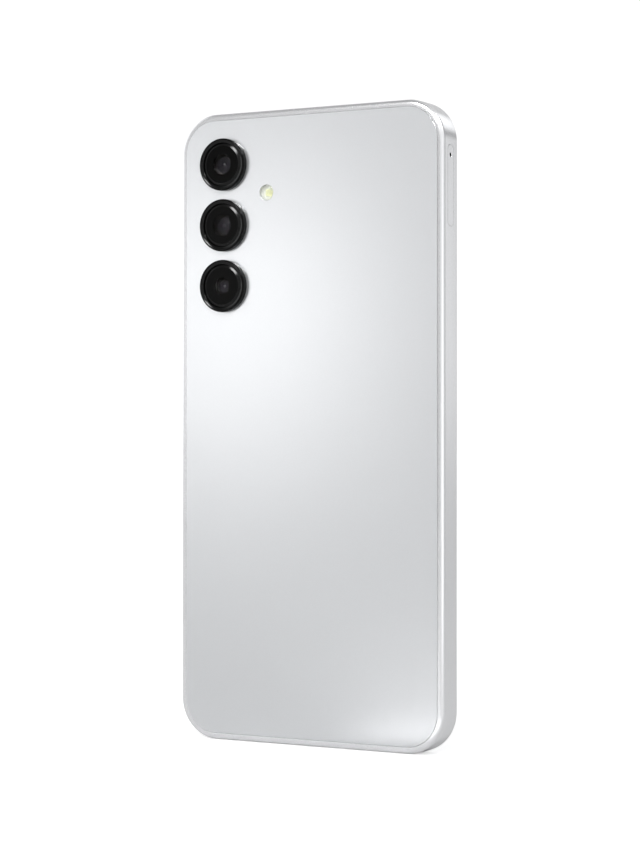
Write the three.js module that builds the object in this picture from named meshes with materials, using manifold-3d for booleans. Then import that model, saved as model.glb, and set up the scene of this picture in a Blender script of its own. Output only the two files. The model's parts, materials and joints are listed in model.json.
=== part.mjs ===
// A bar-shaped smartphone, 77.9 x 7.9 x 164.4 mm, with three round rear cameras in a column.
// Frame: +Z is the top of the phone, the display faces -Y, and the keys are on the +X side.
// The origin is in the middle of the bottom edge. Units are millimetres.
import * as THREE from "three";
import { mergeVertices } from "three/addons/utils/BufferGeometryUtils.js";
import Module from "manifold-3d";

const wasm = await Module();
wasm.setup();

// ---- Driving dimensions ----

const WIDTH = 77.9;
const HEIGHT = 164.4;
const CORNER_R = 10.5;
const HALF_DEPTH = 3.95; // front glass and rear cover lie at -/+ this
const RIM_DEPTH = 3.85; // the frame's rims sit a little under the glass and the cover
const EDGE_ROUND = 0.8; // rounding of the frame's front and back edges
const GAP = 0.1; // running gap round a loose piece

// How far each outline lies inside the phone's outer outline.
const INSET = { glass: 1.3, cover: 1.85, panel: 2.6, panelPocket: 2.3, cavity: 3.2, inner: 3.5 };

// Levels along Y, from the display to the rear cover.
const LEVEL = {
  glassBack: -3.4,
  glassLedge: -3.28,
  panelFront: -3.25,
  panelBack: -2.5,
  cushionBack: -2.2,
  pocketFloor: -2.1,
  plateFront: -2.05,
  plateBack: -1.75,
  boardFront: -1.35,
  boardBack: -0.55,
  partsFront: -0.5,
  shieldTop: 1.3,
  bracketFront: 1.5,
  bracketBack: 2.1,
  coverLedge: 3.0,
  coverFront: 3.15,
};

const CAMERA = { x: 25.3, top: 150.85, pitch: 15.9, ringR: 6.85, ringRise: 1.65, windowR: 5.65 };
const CAMERA_Z = [0, 1, 2].map((i) => CAMERA.top - i * CAMERA.pitch);
const FLASH = { x: 12.5, z: 143.0, r: 2.05 };
const FRONT_CAMERA = { x: 0, z: 156.2, barrelR: 2.5 };

const TRAY = { zLow: 132.4, zHigh: 152.7, halfThick: 1.65, holeZ: 150.2, tailX: -12.9, backX: -37.15 };
const EJECT = { pivotX: -10.9, pivotZ: 143.5, rodHalf: 0.4, leverHalf: 0.75 };
const VOLUME_KEY = { zLow: 114.5, zHigh: 136.5, halfThick: 1.25, outerX: 39.45 };
const POWER_KEY = { zLow: 92.9, zHigh: 105.1, halfThick: 1.35, outerX: 39.35 };
const KEY_FLANGE = { xLow: 34.75, xHigh: 35.3, plungerX: 34.15, lip: 0.7 };

const BATTERY = { xLow: -34, xHigh: 30, zLow: 20.5, zHigh: 109.5, front: -1.45, back: 2.8 };
const BOARD = { xLow: -35.3, xHigh: 17.0, zLow: 115.0, zHigh: 152.8 };
const SUB_BOARD = { xHigh: 8.0, zHigh: 17.5 };
const SPEAKER = { xLow: 9.0, zHigh: 19.3, back: 2.9, portLow: 11.0, portHigh: 25.6 };
const SPEAKER_HOLES = { count: 6, firstX: 12.8, pitch: 2.2, r: 0.65 };
const USB = { halfWidth: 4.47, halfHeight: 1.58, wall: 0.3, mouthZ: 0.6, backZ: 7.9 };
const MOTOR = { x: -26, z: 11.5, r: 4.0, front: -0.45, back: 2.3, wall: 0.2 };
const MIC_HOLE_R = 0.5;
const BOTTOM_MIC_X = -11;
const TOP_MIC_X = 14;

// Screws through the boards go into the mid plate; the upper ones pass tall bosses and hold the bracket.
const SCREW = { shankR: 0.7, headR: 1.3, headThick: 0.5, holeR: 0.75, bossR: 1.5 };
const SCREWS = [
  { name: "screw_upper_left", x: -6.9, z: 149.5, seat: LEVEL.bracketBack },
  { name: "screw_upper_right", x: 14.8, z: 124.0, seat: LEVEL.bracketBack },
  { name: "screw_lower_left", x: -33.0, z: 15.4, seat: LEVEL.boardBack },
  { name: "screw_lower_middle", x: 5.6, z: 15.2, seat: LEVEL.boardBack },
  { name: "screw_speaker", x: 32.8, z: 16.8, seat: SPEAKER.back - 0.6 },
];

// ---- Finishes ----

function finish(color, roughness, metalness) {
  return () => new THREE.MeshStandardMaterial({ color, roughness, metalness });
}

const FINISH = {
  silverFrame: finish(0xc9cacd, 0.32, 0.6),
  silverCover: finish(0xe3e5e8, 0.16, 0.1),
  blackGlass: finish(0x050506, 0.05, 0.0),
  blackRing: finish(0x0a0a0b, 0.12, 0.3),
  blackPlastic: finish(0x161617, 0.55, 0.0),
  clearLens: finish(0xeef0dc, 0.15, 0.0),
  phosphor: finish(0xe6e39a, 0.4, 0.0),
  plate: finish(0x9a9ca0, 0.4, 0.9),
  shield: finish(0xb9bbbf, 0.35, 0.9),
  steel: finish(0xa8aaad, 0.3, 1.0),
  gold: finish(0xc79a4a, 0.35, 1.0),
  board: finish(0x0f3a2a, 0.5, 0.0),
  flex: finish(0x8a5a1c, 0.45, 0.1),
  battery: finish(0x2a2b2e, 0.5, 0.1),
  foil: finish(0xb46a3c, 0.35, 0.9),
  tape: finish(0x1b1b1d, 0.8, 0.0),
  seal: finish(0x5b5d60, 0.7, 0.0),
  silicon: finish(0x1c1f26, 0.3, 0.0),
  cardWhite: finish(0xe9e9ea, 0.45, 0.0),
};

// ---- Solids: three.js geometry in, three.js geometry out, manifold-3d only joins and cuts ----

function solidOf(geometry) {
  const bare = geometry.index ? geometry.toNonIndexed() : geometry.clone();
  bare.deleteAttribute("normal");
  bare.deleteAttribute("uv");
  const merged = mergeVertices(bare, 1e-4);
  return new wasm.Manifold(
    new wasm.Mesh({
      numProp: 3,
      vertProperties: merged.attributes.position.array,
      triVerts: new Uint32Array(merged.index.array),
    }),
  );
}

function geometryOf(solid) {
  const mesh = solid.getMesh();
  const geometry = new THREE.BufferGeometry();
  geometry.setAttribute("position", new THREE.BufferAttribute(mesh.vertProperties, 3));
  geometry.setIndex(new THREE.BufferAttribute(mesh.triVerts, 1));
  geometry.computeVertexNormals();
  return geometry;
}

const cut = (solid, ...tools) => tools.reduce((rest, tool) => rest.subtract(tool), solid);
const join = (solid, ...others) => others.reduce((sum, other) => sum.add(other), solid);

// A rectangle with round corners, drawn in the plane of the display: x across, z up.
function roundedRect(xLow, xHigh, zLow, zHigh, r) {
  const shape = new THREE.Shape();
  shape.moveTo(xLow + r, zLow);
  shape.lineTo(xHigh - r, zLow);
  shape.absarc(xHigh - r, zLow + r, r, -Math.PI / 2, 0);
  shape.lineTo(xHigh, zHigh - r);
  shape.absarc(xHigh - r, zHigh - r, r, 0, Math.PI / 2);
  shape.lineTo(xLow + r, zHigh);
  shape.absarc(xLow + r, zHigh - r, r, Math.PI / 2, Math.PI);
  shape.lineTo(xLow, zLow + r);
  shape.absarc(xLow + r, zLow + r, r, Math.PI, 1.5 * Math.PI);
  return shape;
}

function outline(inset) {
  return roundedRect(inset - WIDTH / 2, WIDTH / 2 - inset, inset, HEIGHT - inset, CORNER_R - inset);
}

// A shape drawn in x and z, given thickness from yLow to yHigh, with its edges rounded by edge.
function slab(shape, yLow, yHigh, { edge = 0, segments = 4 } = {}) {
  const geometry = new THREE.ExtrudeGeometry(shape, {
    depth: yHigh - yLow - 2 * edge,
    curveSegments: segments,
    bevelEnabled: edge > 0,
    bevelThickness: edge,
    bevelSize: edge,
    bevelOffset: -edge,
    bevelSegments: edge > 0.5 ? 2 : 1,
  });
  geometry.rotateX(Math.PI / 2);
  geometry.translate(0, yHigh - edge, 0);
  return solidOf(geometry);
}

// A shape drawn in y and z, given thickness along x from xLow to xHigh.
function slabAlongX(shape, xLow, xHigh, segments = 4) {
  const geometry = new THREE.ExtrudeGeometry(shape, {
    depth: xHigh - xLow,
    curveSegments: segments,
    bevelEnabled: false,
  });
  geometry.rotateY(Math.PI / 2);
  geometry.rotateX(Math.PI / 2);
  geometry.translate(xLow, 0, 0);
  return solidOf(geometry);
}

// A shape drawn in x and y, given thickness along z from zLow to zHigh.
function slabAlongZ(shape, zLow, zHigh, segments = 5) {
  const geometry = new THREE.ExtrudeGeometry(shape, {
    depth: zHigh - zLow,
    curveSegments: segments,
    bevelEnabled: false,
  });
  geometry.translate(0, 0, zLow);
  return solidOf(geometry);
}

function box(xLow, xHigh, yLow, yHigh, zLow, zHigh) {
  const geometry = new THREE.BoxGeometry(xHigh - xLow, yHigh - yLow, zHigh - zLow);
  geometry.translate((xLow + xHigh) / 2, (yLow + yHigh) / 2, (zLow + zHigh) / 2);
  return solidOf(geometry);
}

// A round bar along Y at x and z.
function disc(r, yLow, yHigh, x, z, sides = 14) {
  const geometry = new THREE.CylinderGeometry(r, r, yHigh - yLow, sides);
  geometry.translate(x, (yLow + yHigh) / 2, z);
  return solidOf(geometry);
}

function barAlongX(r, xLow, xHigh, y, z, sides = 10) {
  const geometry = new THREE.CylinderGeometry(r, r, xHigh - xLow, sides);
  geometry.rotateZ(Math.PI / 2);
  geometry.translate((xLow + xHigh) / 2, y, z);
  return solidOf(geometry);
}

function barAlongZ(r, zLow, zHigh, x, y, sides = 8) {
  const geometry = new THREE.CylinderGeometry(r, r, zHigh - zLow, sides);
  geometry.rotateX(Math.PI / 2);
  geometry.translate(x, y, (zLow + zHigh) / 2);
  return solidOf(geometry);
}

// A turned piece about a line along Y at x and z; its profile is pairs of radius and y.
function turned(profile, x, z, sides = 28) {
  const points = profile.map(([r, y]) => new THREE.Vector2(r, y));
  const geometry = new THREE.LatheGeometry([...points, points[0]], sides);
  geometry.translate(x, 0, z);
  return solidOf(geometry);
}

// A flat flex cable, drawn as a centre line of [z, y] points and running straight across x.
function ribbon(line, thickness, xLow, xHigh) {
  const points = line.map(([z, y]) => new THREE.Vector2(y, z));
  const offset = (side) =>
    points.map((p, i) => {
      const before = points[Math.max(i - 1, 0)];
      const after = points[Math.min(i + 1, points.length - 1)];
      const along = after.clone().sub(before).normalize();
      return new THREE.Vector2(p.x - (along.y * side * thickness) / 2, p.y + (along.x * side * thickness) / 2);
    });
  return slabAlongX(new THREE.Shape([...offset(1), ...offset(-1).reverse()]), xLow, xHigh);
}

// A slot's outline in y and z, or x and y, with round ends.
function slot(halfA, halfB, centreA, centreB, r) {
  return roundedRect(centreA - halfA, centreA + halfA, centreB - halfB, centreB + halfB, r);
}

function keySlot(key, gap) {
  const halfThick = key.halfThick + gap;
  const halfLong = (key.zHigh - key.zLow) / 2 + gap;
  return slot(halfThick, halfLong, 0, (key.zHigh + key.zLow) / 2, halfThick * 0.98);
}

// ---- Casing ----

function sideFrame() {
  const wallX = WIDTH / 2 + 1;
  const wallInner = WIDTH / 2 - INSET.cavity - 1;
  const trayHalf = TRAY.halfThick + GAP;
  const trayMiddle = (TRAY.zLow + TRAY.zHigh) / 2;
  const trayLong = (TRAY.zHigh - TRAY.zLow) / 2 + GAP;
  const speakerHoles = Array.from({ length: SPEAKER_HOLES.count }, (_, i) =>
    barAlongZ(SPEAKER_HOLES.r, -1, 4, SPEAKER_HOLES.firstX + i * SPEAKER_HOLES.pitch, 0),
  );
  return cut(
    slab(outline(0), -RIM_DEPTH, RIM_DEPTH, { edge: EDGE_ROUND, segments: 8 }),
    slab(outline(INSET.glass - GAP), -5, LEVEL.glassLedge, { segments: 8 }),
    slab(outline(INSET.panelPocket), -4, LEVEL.pocketFloor),
    slab(outline(INSET.cavity), -3, LEVEL.coverLedge + 1),
    slab(outline(INSET.cover - GAP), LEVEL.coverLedge, 5, { segments: 8 }),
    slabAlongX(slot(trayHalf, trayLong, 0, trayMiddle, 1.3), -wallX, -wallInner),
    slabAlongX(keySlot(VOLUME_KEY, 0.15), wallInner, wallX),
    slabAlongX(keySlot(POWER_KEY, GAP), wallInner, wallX),
    slabAlongZ(slot(USB.halfWidth + 0.15, USB.halfHeight + 0.15, 0, 0, USB.halfHeight), -1, 4),
    ...speakerHoles,
    barAlongZ(MIC_HOLE_R, -1, 4, BOTTOM_MIC_X, 0),
    barAlongZ(MIC_HOLE_R, HEIGHT - 4, HEIGHT + 1, TOP_MIC_X, 0),
    box(-5, 5, LEVEL.glassLedge - 0.1, LEVEL.pocketFloor, HEIGHT - 3.2, HEIGHT - 1.6),
  );
}

function rearCover() {
  const cameraHoles = CAMERA_Z.map((z) => disc(6.3, 2, 5, CAMERA.x, z, 28));
  return cut(
    slab(outline(INSET.cover), LEVEL.coverFront, HALF_DEPTH, { edge: 0.2, segments: 8 }),
    ...cameraHoles,
    disc(FLASH.r + GAP, 2, 5, FLASH.x, FLASH.z, 16),
  );
}

function tapeRing(insetOut, insetIn, yLow, yHigh) {
  return cut(slab(outline(insetOut), yLow, yHigh), slab(outline(insetIn), yLow - 1, yHigh + 1));
}

function midPlate() {
  const bosses = SCREWS.map(({ x, z, seat }) => {
    const top = seat === LEVEL.boardBack ? LEVEL.boardFront - 0.05 : LEVEL.bracketFront - 0.05;
    return disc(SCREW.bossR, LEVEL.plateBack - 0.2, top, x, z, 10);
  });
  const bores = SCREWS.map(({ x, z }) => disc(SCREW.holeR, -3, 3, x, z, 8));
  return cut(
    join(slab(outline(INSET.cavity + GAP), LEVEL.plateFront, LEVEL.plateBack), ...bosses),
    ...bores,
    disc(FRONT_CAMERA.barrelR + 0.4, -3, 0, FRONT_CAMERA.x, FRONT_CAMERA.z, 14),
    slab(roundedRect(-19, -3, 17.8, 19.4, 0.5), -3, 0),
    box(-5, 5, -3, 0, HEIGHT - 4.0, HEIGHT),
  );
}

// ---- Display ----

function displayGlass() {
  return cut(
    slab(outline(INSET.glass), -HALF_DEPTH, LEVEL.glassBack, { edge: 0.18, segments: 8 }),
    box(-7.5, 7.5, -5, -3, HEIGHT - 2.1, HEIGHT),
  );
}

function displayPanel() {
  return cut(
    slab(outline(INSET.panel), LEVEL.panelFront, LEVEL.panelBack),
    disc(FRONT_CAMERA.barrelR + 0.4, -4, 0, FRONT_CAMERA.x, FRONT_CAMERA.z, 14),
    box(-8, 8, -4, 0, HEIGHT - 3.4, HEIGHT),
  );
}

function displayCushion() {
  return cut(
    slab(outline(INSET.inner), LEVEL.panelBack + 0.05, LEVEL.cushionBack),
    disc(FRONT_CAMERA.barrelR + 0.4, -4, 0, FRONT_CAMERA.x, FRONT_CAMERA.z, 14),
    slab(roundedRect(-19, -3, 17.8, 19.4, 0.5), -3, 0),
    box(-8, 8, -4, 0, HEIGHT - 4.2, HEIGHT),
  );
}

function displayCable() {
  const line = [
    [18.6, -2.42],
    [18.6, -0.6],
    [18.3, -0.15],
    [17.6, -0.02],
    [13.2, -0.02],
  ];
  return join(
    ribbon(line, 0.14, -18, -4),
    box(-17.5, -4.5, LEVEL.partsFront, -0.05, 12.4, 14.8),
  );
}

// ---- Cameras and flash ----

function cameraRing(z) {
  const top = HALF_DEPTH + CAMERA.ringRise;
  const windowTop = top - 0.35;
  const profile = [
    [4.9, 2.95],
    [6.15, 2.95],
    [6.15, HALF_DEPTH + 0.03],
    [CAMERA.ringR, HALF_DEPTH + 0.03],
    [CAMERA.ringR, top - 0.35],
    [CAMERA.ringR - 0.1, top - 0.1],
    [CAMERA.ringR - 0.35, top],
    [6.25, top],
    [CAMERA.windowR + 0.08, windowTop - 0.05],
    [CAMERA.windowR + 0.08, windowTop - 0.8],
    [4.9, windowTop - 0.8],
  ];
  return turned(profile, CAMERA.x, z);
}

function lensWindow(z) {
  const top = HALF_DEPTH + CAMERA.ringRise - 0.35;
  return disc(CAMERA.windowR, top - 0.7, top, CAMERA.x, z, 20);
}

// A fixed-focus camera: a square body with a round lens barrel on its back.
function fixedCamera(half, bodyBack, barrelR, barrelBack, z) {
  const x = CAMERA.x;
  return join(
    box(x - half, x + half, -1.45, bodyBack, z - half, z + half),
    disc(barrelR, bodyBack - 0.2, barrelBack, x, z, 16),
    disc(barrelR * 0.72, barrelBack - 0.1, barrelBack + 0.2, x, z, 16),
  );
}

function mainCameraHousing() {
  const [x, z, half] = [CAMERA.x, CAMERA_Z[1], 4.75];
  return cut(
    box(x - half, x + half, -1.45, 2.8, z - half, z + half),
    disc(3.65, -0.3, 4, x, z, 20),
  );
}

function mainLensBarrel() {
  const [x, z] = [CAMERA.x, CAMERA_Z[1]];
  return cut(
    join(disc(3.5, 0.0, 3.3, x, z, 20), disc(2.9, 3.2, 3.95, x, z, 20)),
    disc(1.9, 3.6, 5, x, z, 16),
  );
}

function frontCamera() {
  const { x, z, barrelR } = FRONT_CAMERA;
  return join(
    box(x - 3.2, x + 3.2, -1.45, 1.9, z - 3.2, z + 3.2),
    disc(barrelR, LEVEL.glassBack + 0.2, -1.3, x, z, 16),
  );
}

function flashWindow() {
  return join(
    disc(FLASH.r, 2.9, HALF_DEPTH - 0.02, FLASH.x, FLASH.z, 16),
    disc(2.7, 2.72, 3.05, FLASH.x, FLASH.z, 16),
  );
}

function flashLed() {
  const { x, z } = FLASH;
  return join(
    box(x - 1.6, x + 1.6, LEVEL.partsFront, 2.2, z - 1.6, z + 1.6),
    disc(1.2, 2.1, 2.6, x, z, 20),
  );
}

// ---- Sound and vibration ----

function earpieceReceiver() {
  return join(
    slab(roundedRect(-16.5, -4.2, 154.2, 160.6, 1.0), -1.45, 1.0),
    slab(roundedRect(-15.5, -5.2, 155.2, 159.6, 0.8), 0.9, 1.3),
  );
}

function earpieceMesh() {
  return slab(slot(7.35, 0.38, 0, HEIGHT - 1.68, 0.37), -3.9, -3.42, { segments: 4 });
}

function loudspeakerBox() {
  const wholeBox = slab(outline(INSET.inner), -1.45, SPEAKER.back - 0.6);
  const corner = box(SPEAKER.xLow, 40, -3, 4, 0, SPEAKER.zHigh);
  const lid = slab(roundedRect(12, 28, 6.2, 18, 1.5), SPEAKER.back - 0.7, SPEAKER.back);
  const port = box(SPEAKER.portLow, SPEAKER.portHigh, -0.9, 0.9, 3, 6.5);
  const screw = SCREWS[4];
  return cut(
    join(wholeBox.intersect(corner), lid),
    port,
    disc(SCREW.bossR + 0.2, -3, LEVEL.bracketFront, screw.x, screw.z, 10),
    disc(SCREW.holeR + 0.15, 0, 4, screw.x, screw.z, 8),
  );
}

function loudspeakerMesh() {
  return box(SPEAKER.portLow, SPEAKER.portHigh, -1.1, 1.1, INSET.cavity + 0.04, INSET.inner - 0.04);
}

function motorCase() {
  const { x, z, r, front, back, wall } = MOTOR;
  return cut(disc(r, front, back, x, z, 20), disc(r - wall, front - 1, back - wall, x, z, 20));
}

function motorBase() {
  const { x, z, r, front, back, wall } = MOTOR;
  return join(
    disc(r - wall - 0.05, front, front + 0.25, x, z, 20),
    disc(0.4, front + 0.2, back - wall - 0.1, x, z, 16),
  );
}

// The motor's weight is heavy on one side only, so that it shakes the phone as it spins.
function vibrationWeight() {
  const { x, z } = MOTOR;
  const half = disc(3.4, 0.3, 1.6, x, z, 20).intersect(box(x - 4, x + 4, 0, 2, z - 4, z));
  return cut(join(half, disc(1.3, 0.3, 1.6, x, z, 16)), disc(0.5, 0, 2, x, z, 16));
}

function microphone(x, zLow, zHigh) {
  return box(x - 1.75, x + 1.75, LEVEL.partsFront, 0.6, zLow, zHigh);
}

// ---- Battery, boards and cables ----

function battery() {
  const { xLow, xHigh, zLow, zHigh, front, back } = BATTERY;
  return slab(roundedRect(xLow, xHigh, zLow, zHigh, 2.2), front, back, { edge: 0.7, segments: 4 });
}

function batteryCable() {
  const line = [
    [112.9, 0.6],
    [113.8, 0.3],
    [114.6, -0.1],
    [116.5, -0.12],
  ];
  return join(
    slab(roundedRect(-20, 20, BATTERY.zHigh + 0.2, 113.2, 0.6), -1.2, 1.8),
    ribbon(line, 0.16, 0.5, 7.5),
    box(0, 8, LEVEL.partsFront, -0.1, 115.8, 118.6),
  );
}

function mainBoard() {
  const { xLow, xHigh, zLow, zHigh } = BOARD;
  const bossHoles = SCREWS.slice(0, 2).map(({ x, z }) =>
    disc(SCREW.bossR + 0.25, -2, 0, x, z, 10),
  );
  return cut(
    slab(roundedRect(xLow, xHigh, zLow, zHigh, 1.2), LEVEL.boardFront, LEVEL.boardBack, { segments: 4 }),
    ...bossHoles,
  );
}

function subBoard() {
  const wholeBoard = slab(outline(INSET.inner), LEVEL.boardFront, LEVEL.boardBack);
  const part = box(-40, SUB_BOARD.xHigh, -2, 0, 0, SUB_BOARD.zHigh);
  const screwHoles = SCREWS.slice(2, 4).map(({ x, z }) => disc(SCREW.holeR + 0.1, -2, 0, x, z, 8));
  return cut(
    wholeBoard.intersect(part),
    ...screwHoles,
    box(-USB.halfWidth - 0.2, USB.halfWidth + 0.2, -2, 0, 0, USB.backZ + 0.2),
  );
}

// A stamped shield: a shallow can, open towards the board.
function shieldCan(xLow, xHigh, zLow, zHigh) {
  const wall = 0.2;
  return cut(
    slab(roundedRect(xLow, xHigh, zLow, zHigh, 0.8), LEVEL.partsFront, LEVEL.shieldTop, { segments: 3 }),
    box(xLow + wall, xHigh - wall, -2, LEVEL.shieldTop - wall, zLow + wall, zHigh - wall),
  );
}

function processor() {
  return join(
    box(-4.4, 7.8, LEVEL.partsFront, -0.1, 130.6, 143.4),
    box(-3.5, 6.9, -0.15, 0.6, 131.6, 142.4),
  );
}

function upperBracket() {
  const screwHoles = SCREWS.slice(0, 2).map(({ x, z }) => disc(SCREW.holeR + 0.1, 1, 3, x, z, 8));
  return cut(
    slab(roundedRect(-35, 17, 121, 152.4, 1.5), LEVEL.bracketFront, LEVEL.bracketBack, { segments: 4 }),
    ...screwHoles,
    disc(2.4, 1, 3, FLASH.x, FLASH.z, 20),
  );
}

function nfcCoil() {
  return cut(
    slab(roundedRect(-34.3, -9.7, 123, 150, 2.5), 2.15, 2.35, { segments: 4 }),
    slab(roundedRect(-30.3, -13.7, 127, 146, 1.5), 2, 3, { segments: 4 }),
  );
}

// The cable that joins the two boards crosses the back of the battery.
function boardLinkCable() {
  const back = BATTERY.back + 0.12;
  const line = [
    [16.2, -0.12],
    [18.2, -0.1],
    [19.2, 0.5],
    [19.6, 2.2],
    [20.4, back],
    [113.4, back],
    [114.2, 2.2],
    [114.6, 0.5],
    [115.4, -0.1],
    [117.6, -0.12],
  ];
  return join(
    ribbon(line, 0.14, -31, -20.5),
    box(-31, -20.5, LEVEL.partsFront, -0.1, 16.1, 17.4),
    box(-31, -20.5, LEVEL.partsFront, -0.1, 115.3, 116.8),
  );
}

function antennaCoax() {
  const y = 0.5;
  const route = [
    [7.0, 11.4],
    [6.9, 16.5],
    [7.0, 18.5],
    [8.0, 19.8],
    [10.0, 19.9],
    [20.0, 19.9],
    [29.0, 19.9],
    [31.4, 21.6],
    [31.6, 26.0],
    [31.6, 70.0],
    [31.5, 110.0],
    [29.9, 113.6],
    [26.0, 114.2],
    [20.0, 114.0],
    [13.0, 114.0],
    [11.2, 117.0],
  ];
  const curve = new THREE.CatmullRomCurve3(route.map(([x, z]) => new THREE.Vector3(x, y, z)));
  const section = new THREE.Shape();
  section.absarc(0, 0, 0.33, 0, 2 * Math.PI);
  const geometry = new THREE.ExtrudeGeometry(section, {
    steps: 36,
    curveSegments: 3,
    bevelEnabled: false,
    extrudePath: curve,
  });
  return join(
    solidOf(geometry),
    disc(1.0, LEVEL.partsFront, 0.75, 6.9, 11.0, 16),
    disc(1.0, LEVEL.partsFront, 0.75, 11.0, 117.5, 16),
  );
}

// ---- USB-C receptacle ----

function usbShell() {
  const { halfWidth, halfHeight, wall, mouthZ, backZ } = USB;
  return cut(
    slabAlongZ(slot(halfWidth, halfHeight, 0, 0, halfHeight * 0.98), mouthZ, backZ),
    slabAlongZ(slot(halfWidth - wall, halfHeight - wall, 0, 0, (halfHeight - wall) * 0.98), 0, 9),
  );
}

function usbTongue() {
  const { halfWidth, halfHeight, wall, mouthZ, backZ } = USB;
  const [w, h] = [halfWidth - wall - 0.04, halfHeight - wall - 0.04];
  return join(
    slabAlongZ(slot(w, h, 0, 0, h * 0.98), backZ - 1.4, backZ - 0.05),
    slabAlongZ(slot(3.34, 0.35, 0, 0, 0.15), mouthZ + 0.7, backZ - 1.3, 3),
  );
}

// ---- Card tray and its eject gear ----

function simTray() {
  const outer = -WIDTH / 2;
  const middle = (TRAY.zLow + TRAY.zHigh) / 2;
  const face = slabAlongX(
    slot(TRAY.halfThick, (TRAY.zHigh - TRAY.zLow) / 2, 0, middle, 1.2),
    outer,
    TRAY.backX,
  );
  const neck = box(TRAY.backX - 0.1, -35.4, -1.15, 1.15, 133.2, 151.8);
  const body = slab(roundedRect(-35.6, TRAY.tailX, 132.95, 149.45, 0.8), -0.2, 0.8, { segments: 3 });
  return cut(
    join(face, neck, body),
    box(-34.6, -25.7, -0.02, 2, 135.0, 147.4),
    box(-24.7, -13.6, -0.02, 2, 133.65, 148.75),
    box(-33.4, -26.9, -1, 1, 136.4, 146.0),
    box(-23.5, -14.8, -1, 1, 135.1, 147.3),
    barAlongX(0.5, -40, -35, 0, TRAY.holeZ, 12),
  );
}

function simTraySeal() {
  const [xLow, xHigh] = [TRAY.backX + 0.35, TRAY.backX + 1.05];
  const middle = (133.2 + 151.8) / 2;
  return cut(
    slabAlongX(slot(1.55, 9.6, 0, middle, 0.45), xLow, xHigh),
    box(xLow - 1, xHigh + 1, -1.18, 1.18, 133.17, 151.83),
  );
}

function nanoSimCard() {
  const shape = new THREE.Shape();
  shape.moveTo(-34.55, 135.05);
  shape.lineTo(-25.75, 135.05);
  shape.lineTo(-25.75, 145.7);
  shape.lineTo(-27.4, 147.35);
  shape.lineTo(-34.55, 147.35);
  return slab(shape, 0.01, 0.68);
}

function memoryCard() {
  const shape = new THREE.Shape();
  shape.moveTo(-24.65, 133.7);
  shape.lineTo(-13.65, 133.7);
  shape.lineTo(-13.65, 141.4);
  shape.lineTo(-15.1, 143.2);
  shape.lineTo(-15.1, 148.7);
  shape.lineTo(-24.65, 148.7);
  return slab(shape, 0.01, 0.76);
}

function simReader() {
  const shell = cut(
    box(-35.25, -8.65, LEVEL.partsFront, 1.25, 132.2, 152.3),
    box(-36, -8.85, -0.35, 1.05, 132.6, 151.9),
  );
  return join(shell, disc(0.4, -0.45, 0.9, EJECT.pivotX, EJECT.pivotZ, 12));
}

// The rod behind the pin hole pushes the upper arm of the lever, whose lower arm pushes the tray out.
function ejectRod() {
  const z = TRAY.holeZ;
  const end = EJECT.pivotX - EJECT.leverHalf - 0.1;
  return box(-35.1, end, -0.25, 0.55, z - EJECT.rodHalf, z + EJECT.rodHalf);
}

function ejectLever() {
  const { pivotX, pivotZ, leverHalf } = EJECT;
  const arm = roundedRect(pivotX - leverHalf, pivotX + leverHalf, 136.6, 151.0, 0.5);
  return cut(slab(arm, -0.2, 0.4, { segments: 3 }), disc(0.5, -1, 1, pivotX, pivotZ, 12));
}

// ---- Side keys ----

function sideKey(key, switchZ) {
  const { xLow, xHigh, plungerX, lip } = KEY_FLANGE;
  const plungers = switchZ.map((z) => barAlongX(0.7, plungerX, xLow + 0.2, 0, z));
  return join(
    slabAlongX(keySlot(key, 0), xHigh - 0.1, key.outerX),
    box(xLow, xHigh, -1.7, 1.7, key.zLow - lip, key.zHigh + lip),
    ...plungers,
  );
}

const VOLUME_SWITCH_Z = [119.5, 131.5];
const POWER_SWITCH_Z = [99.0];

function powerKey() {
  const pocket = slot(1.0, 5.0, 0, 99.0, 0.98);
  return cut(sideKey(POWER_KEY, POWER_SWITCH_Z), slabAlongX(pocket, POWER_KEY.outerX - 0.25, 41));
}

function fingerprintSensor() {
  const outer = POWER_KEY.outerX;
  return slabAlongX(slot(0.95, 4.95, 0, 99.0, 0.93), outer - 0.22, outer - 0.02);
}

function keyCable() {
  const switches = [...VOLUME_SWITCH_Z, ...POWER_SWITCH_Z].map((z) =>
    barAlongX(1.3, 33.3, 33.9, 0, z, 12),
  );
  return join(box(33.2, 33.4, -1.6, 1.6, 92, 138), ...switches);
}

// ---- Screws ----

function screw({ x, z, seat }) {
  const { shankR, headR, headThick } = SCREW;
  const head = disc(headR, seat + 0.05, seat + 0.05 + headThick, x, z, 12);
  const length = seat === LEVEL.boardBack ? 1.4 : 2.6;
  const shank = disc(shankR, seat - length, seat + 0.1, x, z, 8);
  const top = seat + 0.05 + headThick;
  return cut(
    join(head, shank),
    box(x - 0.75, x + 0.75, top - 0.25, top + 1, z - 0.16, z + 0.16),
    box(x - 0.16, x + 0.16, top - 0.25, top + 1, z - 0.75, z + 0.75),
  );
}

// ---- Assembly ----

const phone = new THREE.Group();

function add(name, solid, material) {
  const mesh = new THREE.Mesh(geometryOf(solid), material());
  mesh.name = name;
  phone.add(mesh);
}

add("side_frame", sideFrame(), FINISH.silverFrame);
add("rear_cover", rearCover(), FINISH.silverCover);
add("rear_cover_tape", tapeRing(1.95, 3.1, LEVEL.coverLedge + 0.02, LEVEL.coverFront - 0.03), FINISH.tape);
add("mid_plate", midPlate(), FINISH.plate);

add("display_glass", displayGlass(), FINISH.blackGlass);
add("display_tape", tapeRing(1.45, 2.25, LEVEL.glassBack + 0.02, LEVEL.glassLedge - 0.02), FINISH.tape);
add("display_panel", displayPanel(), FINISH.silicon);
add("display_cushion", displayCushion(), FINISH.foil);
add("display_cable", displayCable(), FINISH.flex);

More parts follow.
